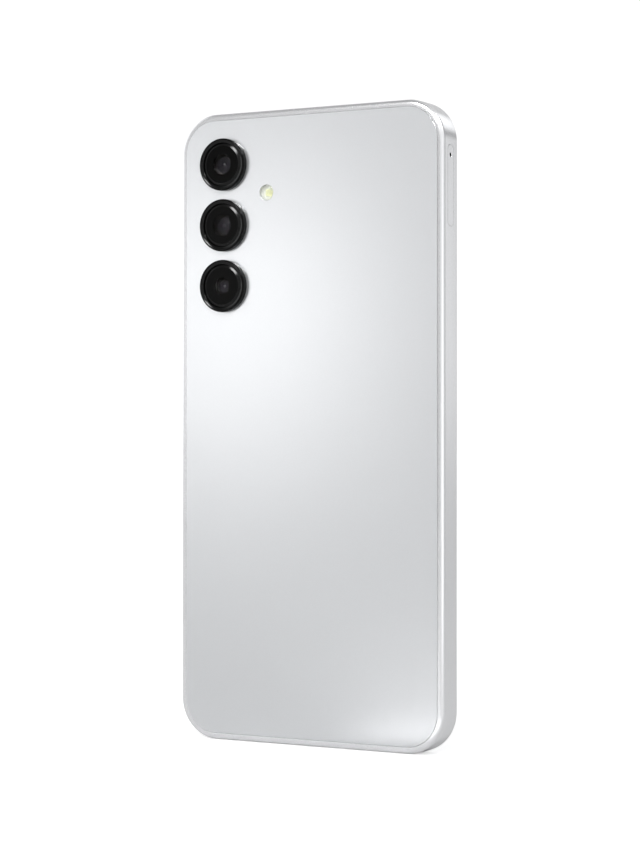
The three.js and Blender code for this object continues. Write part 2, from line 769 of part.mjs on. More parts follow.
["top", "middle", "bottom"].forEach((place, i) => {
  add(`camera_ring_${place}`, cameraRing(CAMERA_Z[i]), FINISH.blackRing);
  add(`lens_window_${place}`, lensWindow(CAMERA_Z[i]), FINISH.blackGlass);
});
add("wide_camera", fixedCamera(4.1, 2.7, 3.2, 3.9, CAMERA_Z[0]), FINISH.blackPlastic);
add("main_camera_housing", mainCameraHousing(), FINISH.blackPlastic);
add("main_lens_barrel", mainLensBarrel(), FINISH.blackPlastic);
add("macro_camera", fixedCamera(3.3, 2.2, 2.4, 3.9, CAMERA_Z[2]), FINISH.blackPlastic);
add("front_camera", frontCamera(), FINISH.blackPlastic);
add("flash_window", flashWindow(), FINISH.clearLens);
add("flash_led", flashLed(), FINISH.phosphor);

add("earpiece_receiver", earpieceReceiver(), FINISH.steel);
add("earpiece_mesh", earpieceMesh(), FINISH.blackPlastic);
add("loudspeaker_box", loudspeakerBox(), FINISH.blackPlastic);
add("loudspeaker_mesh", loudspeakerMesh(), FINISH.steel);
add("top_microphone", microphone(TOP_MIC_X, 157.9, 160.9), FINISH.shield);
add("bottom_microphone", microphone(BOTTOM_MIC_X, 3.6, 6.6), FINISH.shield);
add("vibration_motor_case", motorCase(), FINISH.steel);
add("vibration_motor_base", motorBase(), FINISH.steel);
add("vibration_weight", vibrationWeight(), FINISH.gold);

add("battery", battery(), FINISH.battery);
add("battery_cable", batteryCable(), FINISH.flex);
add("main_board", mainBoard(), FINISH.board);
add("main_shield", shieldCan(-5.1, 8.5, 121, 151), FINISH.shield);
add("radio_shield", shieldCan(-35.0, -12.0, 117.6, 131.8), FINISH.shield);
add("processor", processor(), FINISH.silicon);
add("sub_board", subBoard(), FINISH.board);
add("board_link_cable", boardLinkCable(), FINISH.flex);
add("antenna_coax", antennaCoax(), FINISH.blackPlastic);
add("upper_bracket", upperBracket(), FINISH.blackPlastic);
add("nfc_coil", nfcCoil(), FINISH.tape);

add("usb_c_shell", usbShell(), FINISH.steel);
add("usb_c_tongue", usbTongue(), FINISH.blackPlastic);

add("sim_tray", simTray(), FINISH.silverFrame);
add("sim_tray_seal", simTraySeal(), FINISH.seal);
add("nano_sim_card", nanoSimCard(), FINISH.cardWhite);
add("memory_card", memoryCard(), FINISH.blackPlastic);
add("sim_reader", simReader(), FINISH.shield);
add("eject_rod", ejectRod(), FINISH.steel);
add("eject_lever", ejectLever(), FINISH.steel);

add("volume_key", sideKey(VOLUME_KEY, VOLUME_SWITCH_Z), FINISH.silverFrame);
add("power_key", powerKey(), FINISH.silverFrame);
add("fingerprint_sensor", fingerprintSensor(), FINISH.silverFrame);
add("key_cable", keyCable(), FINISH.flex);

SCREWS.forEach((place) => add(place.name, screw(place), FINISH.steel));

export default phone;
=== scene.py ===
import json
import math

import bmesh
import bpy
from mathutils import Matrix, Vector
from mathutils.geometry import tessellate_polygon


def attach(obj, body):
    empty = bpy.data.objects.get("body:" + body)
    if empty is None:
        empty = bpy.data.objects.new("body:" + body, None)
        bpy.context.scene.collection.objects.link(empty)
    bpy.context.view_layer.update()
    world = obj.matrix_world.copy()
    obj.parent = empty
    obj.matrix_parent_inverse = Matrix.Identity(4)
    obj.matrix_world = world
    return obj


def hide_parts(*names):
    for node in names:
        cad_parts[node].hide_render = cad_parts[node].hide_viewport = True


MM = 0.001

# ---- The phone's leading dimensions, in millimetres, as in the CAD part ----

WIDTH = 77.9
HEIGHT = 164.4
CORNER_R = 10.5
HALF_DEPTH = 3.95
RIM_DEPTH = 3.85
COVER_INSET = 1.85
GLASS_INSET = 1.3
COVER_FRONT = 3.15
GLASS_BACK = -3.4

CAMERA_X = 25.3
CAMERA_Z = {"top": 150.85, "middle": 134.95, "bottom": 119.05}
RING_R = 6.85
RING_TOP = 5.6
WINDOW_R = 5.65
WINDOW_TOP = 5.25
WINDOW_BACK = 4.55
CAMERA_HOLE_R = 6.3
FLASH_HOLE_R = 2.06
FLASH_AT = (12.5, 143.0)
FRONT_CAMERA_AT = (0.0, 156.2)

TRAY_Z = (132.4, 152.7)
TRAY_HOLE_Z = 150.2
PIN_HOLE_R = 0.52
CARD_Z = 141.2
SIM_X = -30.15
MEMORY_X = -19.15
VOLUME_KEY_Z = (114.5, 136.5)
VOLUME_PLUNGER_Z = (119.5, 131.5)
POWER_KEY_Z = (92.9, 105.1)

USB_HALF = (4.47, 1.58)
SPEAKER_HOLE_X = [12.8 + 2.2 * i for i in range(6)]
BOTTOM_MIC_X = -11
TOP_MIC_X = 14


# ---- Materials ----

def new_group(name, inputs, outputs):
    """A shader node group with named value, colour or vector inputs and outputs."""
    group = bpy.data.node_groups.new(name, "ShaderNodeTree")
    kinds = {"value": "NodeSocketFloat", "colour": "NodeSocketColor", "vector": "NodeSocketVector"}
    for label, kind, default in inputs:
        socket = group.interface.new_socket(label, in_out="INPUT", socket_type=kinds[kind])
        socket.default_value = default
    for label, kind in outputs:
        group.interface.new_socket(label, in_out="OUTPUT", socket_type=kinds[kind])
    return group, group.nodes.new("NodeGroupInput"), group.nodes.new("NodeGroupOutput")


def feed(tree, value, socket):
    """Sets a number on the socket, or links another socket to it."""
    if isinstance(value, (int, float)):
        socket.default_value = value
    else:
        tree.links.new(value, socket)


def noise(tree, vector, scale, detail):
    node = tree.nodes.new("ShaderNodeTexNoise")
    node.inputs["Detail"].default_value = detail
    feed(tree, vector, node.inputs["Vector"])
    feed(tree, scale, node.inputs["Scale"])
    return node.outputs["Fac"]


def spread(tree, value, low, high, to_low, to_high, easing="LINEAR"):
    """Value mapped from low..high to to_low..to_high; each may be a number or a socket."""
    node = tree.nodes.new("ShaderNodeMapRange")
    node.interpolation_type = easing
    ends = {"Value": value, "From Min": low, "From Max": high, "To Min": to_low, "To Max": to_high}
    for label, end in ends.items():
        feed(tree, end, node.inputs[label])
    return node.outputs["Result"]


def arithmetic(tree, operation, first, second):
    node = tree.nodes.new("ShaderNodeMath")
    node.operation = operation
    feed(tree, first, node.inputs[0])
    feed(tree, second, node.inputs[1])
    return node.outputs[0]


def blend(tree, factor, first, second):
    """The first colour, turning into the second as the factor goes from 0 to 1."""
    node = tree.nodes.new("ShaderNodeMix")
    node.data_type = "RGBA"
    tree.links.new(factor, node.inputs["Factor"])
    tree.links.new(first, node.inputs["A"])
    tree.links.new(second, node.inputs["B"])
    return node.outputs["Result"]


def object_point(tree):
    return tree.nodes.new("ShaderNodeTexCoord").outputs["Object"]


def make_surface_group():
    """Slow drift between two close colours, uneven gloss, and a fine grain for the bump."""
    group, start, end = new_group(
        "surface_drift",
        [
            ("Colour A", "colour", (0.5, 0.5, 0.5, 1)),
            ("Colour B", "colour", (0.5, 0.5, 0.5, 1)),
            ("Drift Scale", "value", 40.0),
            ("Gloss Low", "value", 0.3),
            ("Gloss High", "value", 0.4),
            ("Gloss Scale", "value", 90.0),
            ("Grain Scale", "value", 3000.0),
        ],
        [("Colour", "colour"), ("Roughness", "value"), ("Grain", "value")],
    )
    point = object_point(group)
    drift = spread(group, noise(group, point, start.outputs["Drift Scale"], 3.0), 0.35, 0.65, 0.0, 1.0)
    colour = blend(group, drift, start.outputs["Colour A"], start.outputs["Colour B"])
    gloss = noise(group, point, start.outputs["Gloss Scale"], 1.0)
    rough = spread(group, gloss, 0.3, 0.7, start.outputs["Gloss Low"], start.outputs["Gloss High"])
    group.links.new(colour, end.inputs["Colour"])
    group.links.new(rough, end.inputs["Roughness"])
    group.links.new(noise(group, point, start.outputs["Grain Scale"], 2.0), end.inputs["Grain"])
    return group


def make_flake_group():
    """Metallic flake: tiny cells, each a little lighter or darker than the paint around it."""
    group, start, end = new_group(
        "metal_flake",
        [("Colour", "colour", (0.5, 0.5, 0.5, 1)), ("Flake Scale", "value", 6000.0),
         ("Sparkle", "value", 0.1)],
        [("Colour", "colour")],
    )
    cells = group.nodes.new("ShaderNodeTexVoronoi")
    group.links.new(object_point(group), cells.inputs["Vector"])
    group.links.new(start.outputs["Flake Scale"], cells.inputs["Scale"])
    low = arithmetic(group, "SUBTRACT", 1.0, start.outputs["Sparkle"])
    high = arithmetic(group, "ADD", 1.0, start.outputs["Sparkle"])
    separate = group.nodes.new("ShaderNodeSeparateColor")
    group.links.new(cells.outputs["Color"], separate.inputs["Color"])
    factor = spread(group, separate.outputs["Red"], 0.0, 1.0, low, high)
    scaled = group.nodes.new("ShaderNodeVectorMath")
    scaled.operation = "SCALE"
    group.links.new(start.outputs["Colour"], scaled.inputs[0])
    group.links.new(factor, scaled.inputs["Scale"])
    group.links.new(scaled.outputs[0], end.inputs["Colour"])
    return group


def make_wear_group():
    """Rubbed edges: the rubbed colour on the sharpest outer edges, broken up by noise."""
    group, start, end = new_group(
        "rubbed_edge",
        [("Colour", "colour", (0.5, 0.5, 0.5, 1)), ("Rubbed Colour", "colour", (0.8, 0.8, 0.8, 1)),
         ("Amount", "value", 0.3), ("Break Up Scale", "value", 400.0)],
        [("Colour", "colour")],
    )
    pointy = group.nodes.new("ShaderNodeNewGeometry").outputs["Pointiness"]
    edge = spread(group, pointy, 0.52, 0.62, 0.0, 1.0)
    patches = noise(group, object_point(group), start.outputs["Break Up Scale"], 3.0)
    broken = spread(group, patches, 0.4, 0.6, 0.2, 1.0)
    mask = arithmetic(group, "MULTIPLY", edge, broken)
    strength = arithmetic(group, "MULTIPLY", mask, start.outputs["Amount"])
    worn = blend(group, strength, start.outputs["Colour"], start.outputs["Rubbed Colour"])
    group.links.new(worn, end.inputs["Colour"])
    return group


SURFACE = make_surface_group()
FLAKE = make_flake_group()
WEAR = make_wear_group()

# How much darker a finish drifts where it has no second colour of its own.
DRIFT_SHADE = 0.94
MATERIALS = {}


def use_group(tree, group, **values):
    node = tree.nodes.new("ShaderNodeGroup")
    node.node_tree = group
    for label, value in values.items():
        node.inputs[label.replace("_", " ")].default_value = value
    return node


def grey(level):
    return (level, level, level, 1)


def finish(name, colour, second=None, rough=(0.3, 0.4), metallic=0.0, drift=40, gloss_scale=90, grain=3000,
           bump=0.02, bump_depth=0.02, coat=0.0, coat_rough=0.03, flake=None, wear=None, transmission=0.0,
           ior=1.5, specular=0.5, glow=None):
    """A Principled material whose colour, gloss and bump come from the shared groups."""
    material = bpy.data.materials.new(name)
    material.use_nodes = True
    tree = material.node_tree
    shader = tree.nodes["Principled BSDF"]
    second = second or tuple(c * DRIFT_SHADE for c in colour[:3]) + (1,)
    surface = use_group(
        tree, SURFACE, Colour_A=colour, Colour_B=second, Drift_Scale=drift, Gloss_Low=rough[0],
        Gloss_High=rough[1], Gloss_Scale=gloss_scale, Grain_Scale=grain,
    )
    out = surface.outputs["Colour"]
    if flake:
        flakes = use_group(tree, FLAKE, Flake_Scale=flake[0], Sparkle=flake[1])
        tree.links.new(out, flakes.inputs["Colour"])
        out = flakes.outputs["Colour"]
    if wear:
        worn = use_group(tree, WEAR, Rubbed_Colour=wear[0], Amount=wear[1])
        tree.links.new(out, worn.inputs["Colour"])
        out = worn.outputs["Colour"]
    tree.links.new(out, shader.inputs["Base Color"])
    tree.links.new(surface.outputs["Roughness"], shader.inputs["Roughness"])
    if bump:
        bumps = tree.nodes.new("ShaderNodeBump")
        bumps.inputs["Strength"].default_value = bump
        bumps.inputs["Distance"].default_value = bump_depth * MM
        tree.links.new(surface.outputs["Grain"], bumps.inputs["Height"])
        tree.links.new(bumps.outputs["Normal"], shader.inputs["Normal"])
    shader.inputs["Metallic"].default_value = metallic
    shader.inputs["Coat Weight"].default_value = coat
    shader.inputs["Coat Roughness"].default_value = coat_rough
    shader.inputs["Transmission Weight"].default_value = transmission
    shader.inputs["IOR"].default_value = ior
    shader.inputs["Specular IOR Level"].default_value = specular
    # A painted glow: emission on parts that are no lamp.
    if glow:
        shader.inputs["Emission Color"].default_value = glow[0]
        shader.inputs["Emission Strength"].default_value = glow[1]
    MATERIALS[name] = material


finish(
    "cover_gloss", (0.715, 0.724, 0.738, 1), (0.725, 0.734, 0.748, 1), rough=(0.30, 0.32), metallic=0.75,
    drift=14, gloss_scale=12, grain=9000, bump=0.05, bump_depth=0.004, coat=0.25, coat_rough=0.08,
    flake=(9000, 0.015))
finish(
    "frame_paint", (0.815, 0.815, 0.827, 1), (0.825, 0.825, 0.837, 1), rough=(0.24, 0.26), metallic=0.85,
    drift=40, gloss_scale=18, grain=12000, bump=0.05, bump_depth=0.004, coat=0.3, coat_rough=0.12,
    flake=(12000, 0.015))
finish(
    "key_paint", (0.765, 0.765, 0.777, 1), rough=(0.24, 0.27), metallic=0.85, drift=120, gloss_scale=60,
    grain=12000, bump=0.05, bump_depth=0.004, coat=0.3, coat_rough=0.1, flake=(12000, 0.015),
    wear=(grey(0.9), 0.2))
finish(
    "sensor_gloss", (0.700, 0.703, 0.713, 1), rough=(0.10, 0.16), metallic=0.6, drift=120,
    gloss_scale=400, bump=0.02, coat=0.8, coat_rough=0.03)
finish(
    "screen_border", grey(0.0030), grey(0.0038), rough=(0.03, 0.06), gloss_scale=60, bump=0, coat=0.15,
    coat_rough=0.02, specular=0.35)
finish(
    "screen_area", (0.0125, 0.0130, 0.0150, 1), (0.0135, 0.0140, 0.0160, 1), rough=(0.03, 0.07), drift=25,
    gloss_scale=60, bump=0, coat=0.5, coat_rough=0.02)
finish(
    "lens_border", grey(0.0030), grey(0.0038), rough=(0.12, 0.15), gloss_scale=60, bump=0, specular=0.03)
finish(
    "ring_gloss", grey(0.0030), grey(0.0042), rough=(0.13, 0.15), gloss_scale=60, grain=9000, bump=0.02,
    bump_depth=0.003, specular=0.09)
finish(
    "ring_polish", grey(0.0030), grey(0.0038), rough=(0.14, 0.16), gloss_scale=60, bump=0, specular=0.22)
finish(
    "clear_pane", grey(0.97), grey(0.96), rough=(0.0, 0.01), bump=0, transmission=1.0, ior=1.12)
finish(
    "lens_baffle", grey(0.0035), grey(0.0050), rough=(0.35, 0.5), gloss_scale=300, grain=9000, bump=0.1,
    specular=0.1)
finish(
    "lens_coat", (0.0105, 0.0095, 0.0135, 1), (0.0130, 0.0115, 0.0165, 1), rough=(0.20, 0.28), drift=500,
    bump=0, specular=0.25)
finish(
    "lens_iris", (0.016, 0.015, 0.020, 1), (0.012, 0.011, 0.015, 1), rough=(0.14, 0.18), drift=900,
    bump=0, specular=0.8)
finish(
    "flash_lens", (0.98, 0.99, 0.96, 1), (0.96, 0.97, 0.93, 1), rough=(0.10, 0.16), gloss_scale=300,
    grain=4000, bump=0.1, transmission=0.82, ior=1.3)
# The flash's white reflector cup, with a painted glow standing in for light that reaches it through the lens.
finish(
    "flash_rim", (0.95, 0.95, 0.92, 1), rough=(0.25, 0.35), drift=400, bump=0.02, coat=0.4,
    glow=((0.95, 1.0, 0.93, 1), 0.16))
# The LED chip's yellow coat, with a painted glow standing in for light that reaches it through the lens.
finish(
    "phosphor", (0.93, 0.92, 0.42, 1), (0.88, 0.88, 0.36, 1), rough=(0.5, 0.6), drift=1500, grain=9000,
    bump=0.2, glow=((0.92, 1.0, 0.85, 1), 0.10))
finish(
    "black_plastic", grey(0.012), grey(0.016), rough=(0.45, 0.60), drift=120, gloss_scale=300, grain=5000,
    bump=0.25, wear=(grey(0.05), 0.3))
finish(
    "plate_metal", grey(0.42), grey(0.47), rough=(0.30, 0.45), metallic=1.0, drift=70, grain=2500,
    bump=0.1)
finish(
    "shield_metal", grey(0.52), grey(0.58), rough=(0.25, 0.40), metallic=1.0, drift=90, grain=3500,
    bump=0.1, wear=(grey(0.7), 0.4))
finish(
    "steel", grey(0.50), grey(0.55), rough=(0.18, 0.30), metallic=1.0, drift=200, grain=6000, bump=0.08,
    wear=(grey(0.75), 0.4))
finish(
    "brass", (0.55, 0.40, 0.18, 1), rough=(0.30, 0.42), metallic=1.0, drift=200, grain=4000, bump=0.1)
finish(
    "gold_contact", (0.80, 0.56, 0.22, 1), rough=(0.18, 0.26), metallic=1.0, drift=500, grain=6000,
    bump=0.05)
finish(
    "board_green", (0.010, 0.060, 0.035, 1), (0.014, 0.085, 0.050, 1), rough=(0.30, 0.45), drift=350,
    grain=2500, bump=0.15, coat=0.3)
finish(
    "flex_amber", (0.33, 0.15, 0.04, 1), (0.42, 0.20, 0.06, 1), rough=(0.25, 0.40), drift=160, grain=3000,
    bump=0.08, coat=0.4)
finish(
    "battery_wrap", grey(0.030), grey(0.038), rough=(0.30, 0.42), drift=50, grain=1200, bump=0.2)
finish(
    "copper_foil", (0.62, 0.30, 0.16, 1), (0.70, 0.36, 0.20, 1), rough=(0.22, 0.38), metallic=1.0,
    drift=90, grain=900, bump=0.2)
finish(
    "black_tape", grey(0.018), grey(0.026), rough=(0.70, 0.85), drift=300, grain=4500, bump=0.4)
finish(
    "seal_rubber", grey(0.12), grey(0.14), rough=(0.55, 0.70), drift=200, grain=4500, bump=0.2)
finish(
    "silicon", (0.016, 0.018, 0.024, 1), (0.022, 0.024, 0.032, 1), rough=(0.12, 0.22), drift=150,
    bump=0.02, coat=0.3)
finish(
    "card_white", grey(0.80), grey(0.76), rough=(0.30, 0.40), drift=150, grain=4000, bump=0.06, coat=0.2)
finish(
    "card_black", grey(0.020), grey(0.026), rough=(0.35, 0.48), drift=150, grain=4000, bump=0.15)
finish(
    "mesh_wire", grey(0.06), grey(0.09), rough=(0.35, 0.50), metallic=0.8, drift=800, grain=5000,
    bump=0.2)
# A painted shade for the walls inside the eject hole, which get little light.
finish(
    "bore_painted_shade", grey(0.010), grey(0.014), rough=(0.6, 0.7), drift=300, bump=0.1)

# CAD nodes whose shape is kept take the finish of their material slot.
SLOT_FINISH = {
    "screen_glass": "screen_border",
    "lens_glass": "lens_border",
    "clear_lens": "flash_lens",
}


# ---- Mesh building ----

def as_data(mesh, name):
    """A bmesh turned into mesh data."""
    data = bpy.data.meshes.new(name)
    mesh.to_mesh(data)
    mesh.free()
    return data


def add_object(name, data):
    made = bpy.data.objects.new(name, data)
    bpy.context.scene.collection.objects.link(made)
    return made


def piece(name, mesh, material, body="phone", replaces=(), sharp=35):
    """Links a bmesh or mesh data as a finished piece that rides on a CAD body."""
    data = as_data(mesh, name) if isinstance(mesh, bmesh.types.BMesh) else mesh
    made = add_object(name, data)
    names = material if isinstance(material, (list, tuple)) else [material]
    for label in names:
        data.materials.append(MATERIALS[label])
    data.shade_smooth()
    data.set_sharp_from_angle(angle=math.radians(sharp))
    weighted = made.modifiers.new("weighted", "WEIGHTED_NORMAL")
    weighted.keep_sharp = True
    weighted.weight = 80
    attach(made, body)
    if replaces:
        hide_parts(*replaces)


def arc(centre, radii, start, end, steps):
    """Points on an ellipse about centre, from start to end degrees."""
    return [
        (centre[0] + radii[0] * math.cos(math.radians(start + (end - start) * i / steps)),
         centre[1] + radii[1] * math.sin(math.radians(start + (end - start) * i / steps)))
        for i in range(steps + 1)
    ]


def circle(r, at, sides=96):
    return [
        (at[0] + r * math.cos(2 * math.pi * i / sides), at[1] + r * math.sin(2 * math.pi * i / sides))
        for i in range(sides)
    ]


def rounded_rect(half_a, half_b, r, per_corner=16, along=(1, 1)):
    """Points round a rectangle with round corners, centred on the origin; along sets the side steps."""
    corners = [
        arc((side_a * (half_a - r), side_b * (half_b - r)), (r, r), start, start + 90, per_corner)
        for side_a, side_b, start in [(1, -1, -90), (1, 1, 0), (-1, 1, 90), (-1, -1, 180)]
    ]
    points = []
    for index, corner in enumerate(corners):
        following = corners[(index + 1) % 4]
        steps = along[(index + 1) % 2]
        points += corner
        points += [
            tuple(a + (b - a) * step / steps for a, b in zip(corner[-1], following[0]))
            for step in range(1, steps)
        ]
    return points


def phone_outline(inset):
    """The phone's outline drawn in by inset, as (x, z) points."""
    half_x = WIDTH / 2 - inset
    half_z = HEIGHT / 2 - inset
    return [
        (a, b + HEIGHT / 2)
        for a, b in rounded_rect(half_x, half_z, CORNER_R - inset, per_corner=28, along=(6, 14))
    ]


def flat_along_y(x, z, y):
    """Outlines in the phone's x and z, and heights along y, towards the rear cover."""
    return Vector((x, y, z)) * MM


def add_ring(mesh, points, height, place=flat_along_y):
    return [mesh.verts.new(place(a, b, height)) for a, b in points]


def bridge(mesh, low, high):
    count = len(low)
    return [
        mesh.faces.new((low[i], low[(i + 1) % count], high[(i + 1) % count], high[i]))
        for i in range(count)
    ]


def add_walls(mesh, outline, profile, place=flat_along_y):
    """A ring of outline(inset) at each (inset, height) of the profile, and walls from ring to ring."""
    rings = [add_ring(mesh, outline(inset), height, place) for inset, height in profile]
    for low, high in zip(rings, rings[1:]):
        bridge(mesh, low, high)
    return rings


def loft(outline, profile, place=flat_along_y, closed=False):
    """Walls through the profile, capped at both ends unless they close on themselves."""
    mesh = bmesh.new()
    rings = add_walls(mesh, outline, profile, place)
    if closed:
        bridge(mesh, rings[-1], rings[0])
    else:
        mesh.faces.new(rings[0])
        mesh.faces.new(rings[-1])
    bmesh.ops.recalc_face_normals(mesh, faces=mesh.faces)
    return mesh


def turned(profile, at, place=flat_along_y, sides=96):
    """A turned solid through (radius, height) pairs, closed on itself unless both ends are on the axis."""
    mesh = bmesh.new()
    rings = []
    for r, height in profile:
        if r < 1e-6:
            rings.append([mesh.verts.new(place(at[0], at[1], height))])
        else:
            rings.append(add_ring(mesh, circle(r, at, sides), height, place))
    pairs = list(zip(rings, rings[1:]))
    if len(rings[0]) > 1 and len(rings[-1]) > 1:
        pairs.append((rings[-1], rings[0]))
    for low, high in pairs:
        if len(low) == 1:
            for i in range(sides):
                mesh.faces.new((low[0], high[i], high[(i + 1) % sides]))
        elif len(high) == 1:
            for i in range(sides):
                mesh.faces.new((low[i], low[(i + 1) % sides], high[0]))
        else:
            bridge(mesh, low, high)
    bmesh.ops.recalc_face_normals(mesh, faces=mesh.faces)
    return mesh


def fill_between(mesh, rings):
    """Flat faces between an outer loop and the loops inside it."""
    corners = [vert for ring in rings for vert in ring]
    triangles = tessellate_polygon([[vert.co / MM for vert in ring] for ring in rings])
    return [mesh.faces.new([corners[index] for index in triangle]) for triangle in triangles]


def plate(outline, profile, holes):
    """A flat plate: outer walls by profile, with round holes (at, r, chamfer) through it."""
    mesh = bmesh.new()
    rings = add_walls(mesh, outline, profile)
    low_height, high_height = profile[0][1], profile[-1][1]
    low_rings, high_rings = [rings[0]], [rings[-1]]
    for at, r, chamfer in holes:
        levels = [
            (r, low_height), (r, high_height - chamfer), (r + chamfer * 0.3, high_height - chamfer * 0.3),
            (r + chamfer, high_height), (r + chamfer + 0.1, high_height),
        ]
        hole = add_walls(mesh, lambda radius: circle(radius, at), levels)
        low_rings.append(hole[0])
        high_rings.append(hole[-1])
    fill_between(mesh, low_rings)
    fill_between(mesh, high_rings)
    bmesh.ops.recalc_face_normals(mesh, faces=mesh.faces)
    return mesh


def cut_with(mesh, cutters):
    """The mesh with each cutter mesh taken away, as plain mesh data."""
    body = add_object("cut_body", as_data(mesh, "cut_body"))
    tools = []
    for index, cutter in enumerate(cutters):
        tool = add_object(f"cutter_{index}", as_data(cutter, f"cutter_{index}"))
        modifier = body.modifiers.new(f"cut_{index}", "BOOLEAN")
        modifier.object = tool
        modifier.solver = "EXACT"
        tools.append(tool)
    bpy.context.view_layer.update()
    graph = bpy.context.evaluated_depsgraph_get()
    result = bpy.data.meshes.new_from_object(body.evaluated_get(graph))
    for leftover in [body, *tools]:
        bpy.data.objects.remove(leftover)
    return result


def joined(*meshes):
    """Several closed bmeshes as one."""
    whole = bmesh.new()
    for part in meshes:
        data = as_data(part, "part")
        whole.from_mesh(data)
        bpy.data.meshes.remove(data)
    return whole


def middle_and_half(ends):
    """The middle and the half length between two ends."""
    return sum(ends) / 2, (ends[1] - ends[0]) / 2


# ---- Where the small pieces point: their own (a, b, height) as the phone's x, y, z ----

def on_tray_side(y, z, out):
    return Vector((-WIDTH / 2 - out, y, z)) * MM


def on_key_side(y, z, out):
    return Vector((WIDTH / 2 + out, y, z)) * MM


def on_bottom(x, y, out):
    return Vector((x, y, -out)) * MM


def on_top(x, y, out):
    return Vector((x, y, HEIGHT + out)) * MM


def slot_outline(half_a, half_b, centre, r, per_corner=12):
    """A round-cornered outline, as a function of how far it is drawn in."""
    def at_inset(inset):
        corner = max(r - inset, 0.01)
        return [
            (a + centre[0], b + centre[1])
            for a, b in rounded_rect(half_a - inset, half_b - inset, corner, per_corner)
        ]
    return at_inset


def slot_cutter(half_a, half_b, centre, r, place, chamfer=0.1):
    """A slot-shaped tool that flares by the chamfer where it meets the surface."""
    depth, clear_of_surface = 4.0, 0.6
    outline = slot_outline(half_a, half_b, centre, r)
    profile = [(0, -depth), (0, -chamfer), (-chamfer, 0.0), (-chamfer, clear_of_surface)]
    return loft(outline, profile, place)


# ---- Casing ----

SIDE_CROWN = 0.05


def make_side_frame():
    back_round = (1.35, 0.95)
    front_round = (0.5, 0.45)
    # The rim slopes a little outwards from the cover's edge before it rounds over.
    rim_slope, rim_inner = 4, 1.77
    rim_outer = back_round[0] * (1 - math.sin(math.radians(rim_slope))) + SIDE_CROWN
    round_top = RIM_DEPTH - (rim_inner - rim_outer) * math.tan(math.radians(rim_slope))
    round_centre = (back_round[0] + SIDE_CROWN, round_top - back_round[1] * math.cos(math.radians(rim_slope)))
    back_edge = arc(round_centre, back_round, 90 + rim_slope, 180, 12)
    front_edge = arc((front_round[0] + SIDE_CROWN, -RIM_DEPTH + front_round[1]), front_round, 180, 270, 7)
    crown_top, crown_low = back_edge[-1][1], front_edge[0][1]
    middle, reach = (crown_top + crown_low) / 2, (crown_top - crown_low) / 2
    side = []
    for step in range(1, 8):
        y = crown_top + (crown_low - crown_top) * step / 8
        side.append((SIDE_CROWN * ((y - middle) / reach) ** 2, y))
    inner = [
        (1.14, -3.85), (1.2, -3.79), (1.2, -3.28), (2.2, -3.28), (2.2, -2.1), (3.2, -2.1), (3.2, 3.0),
        (1.80, 3.0), (1.80, RIM_DEPTH - 0.03), (rim_inner, RIM_DEPTH),
    ]
    profile = back_edge + side + front_edge + inner
    body = loft(phone_outline, profile, closed=True)
    tray_middle, tray_half = middle_and_half(TRAY_Z)
    volume_middle, volume_half = middle_and_half(VOLUME_KEY_Z)
    power_middle, power_half = middle_and_half(POWER_KEY_Z)
    cutters = [
        slot_cutter(1.69, tray_half + 0.045, (0, tray_middle), 1.25, on_tray_side, chamfer=0.03),
        slot_cutter(1.36, volume_half + 0.13, (0, volume_middle), 1.35, on_key_side, chamfer=0.12),
        slot_cutter(1.45, power_half + 0.1, (0, power_middle), 1.44, on_key_side, chamfer=0.12),
        slot_cutter(USB_HALF[0] + 0.12, USB_HALF[1] + 0.12, (0, 0), 1.69, on_bottom, chamfer=0.22),
        slot_cutter(0.5, 0.5, (BOTTOM_MIC_X, 0), 0.49, on_bottom, chamfer=0.08),
        slot_cutter(0.5, 0.5, (TOP_MIC_X, 0), 0.49, on_top, chamfer=0.08),
        loft(slot_outline(5, 0.6, (0, HEIGHT - 2.3), 0.5), [(0, -3.4), (0, -2.0)]),
    ]
    cutters += [slot_cutter(0.65, 0.65, (x, 0), 0.64, on_bottom, chamfer=0.1) for x in SPEAKER_HOLE_X]
    mesh = cut_with(body, cutters)
    piece("side_frame_shell", mesh, "frame_paint", replaces=["side_frame"], sharp=32)


def make_rear_cover():
    edge = [(COVER_INSET, HALF_DEPTH - 0.05), (COVER_INSET + 0.05, HALF_DEPTH)]
    profile = [(COVER_INSET + 0.05, COVER_FRONT), (COVER_INSET, COVER_FRONT + 0.05)] + edge
    profile += [(COVER_INSET + 0.42, HALF_DEPTH), (COVER_INSET + 0.8, HALF_DEPTH)]
    holes = [((CAMERA_X, z), CAMERA_HOLE_R, 0.05) for z in CAMERA_Z.values()]
    holes.append((FLASH_AT, FLASH_HOLE_R, 0.04))
    mesh = plate(phone_outline, profile, holes)
    piece("rear_cover_sheet", mesh, "cover_gloss", replaces=["rear_cover"])


# ---- Cameras and flash ----

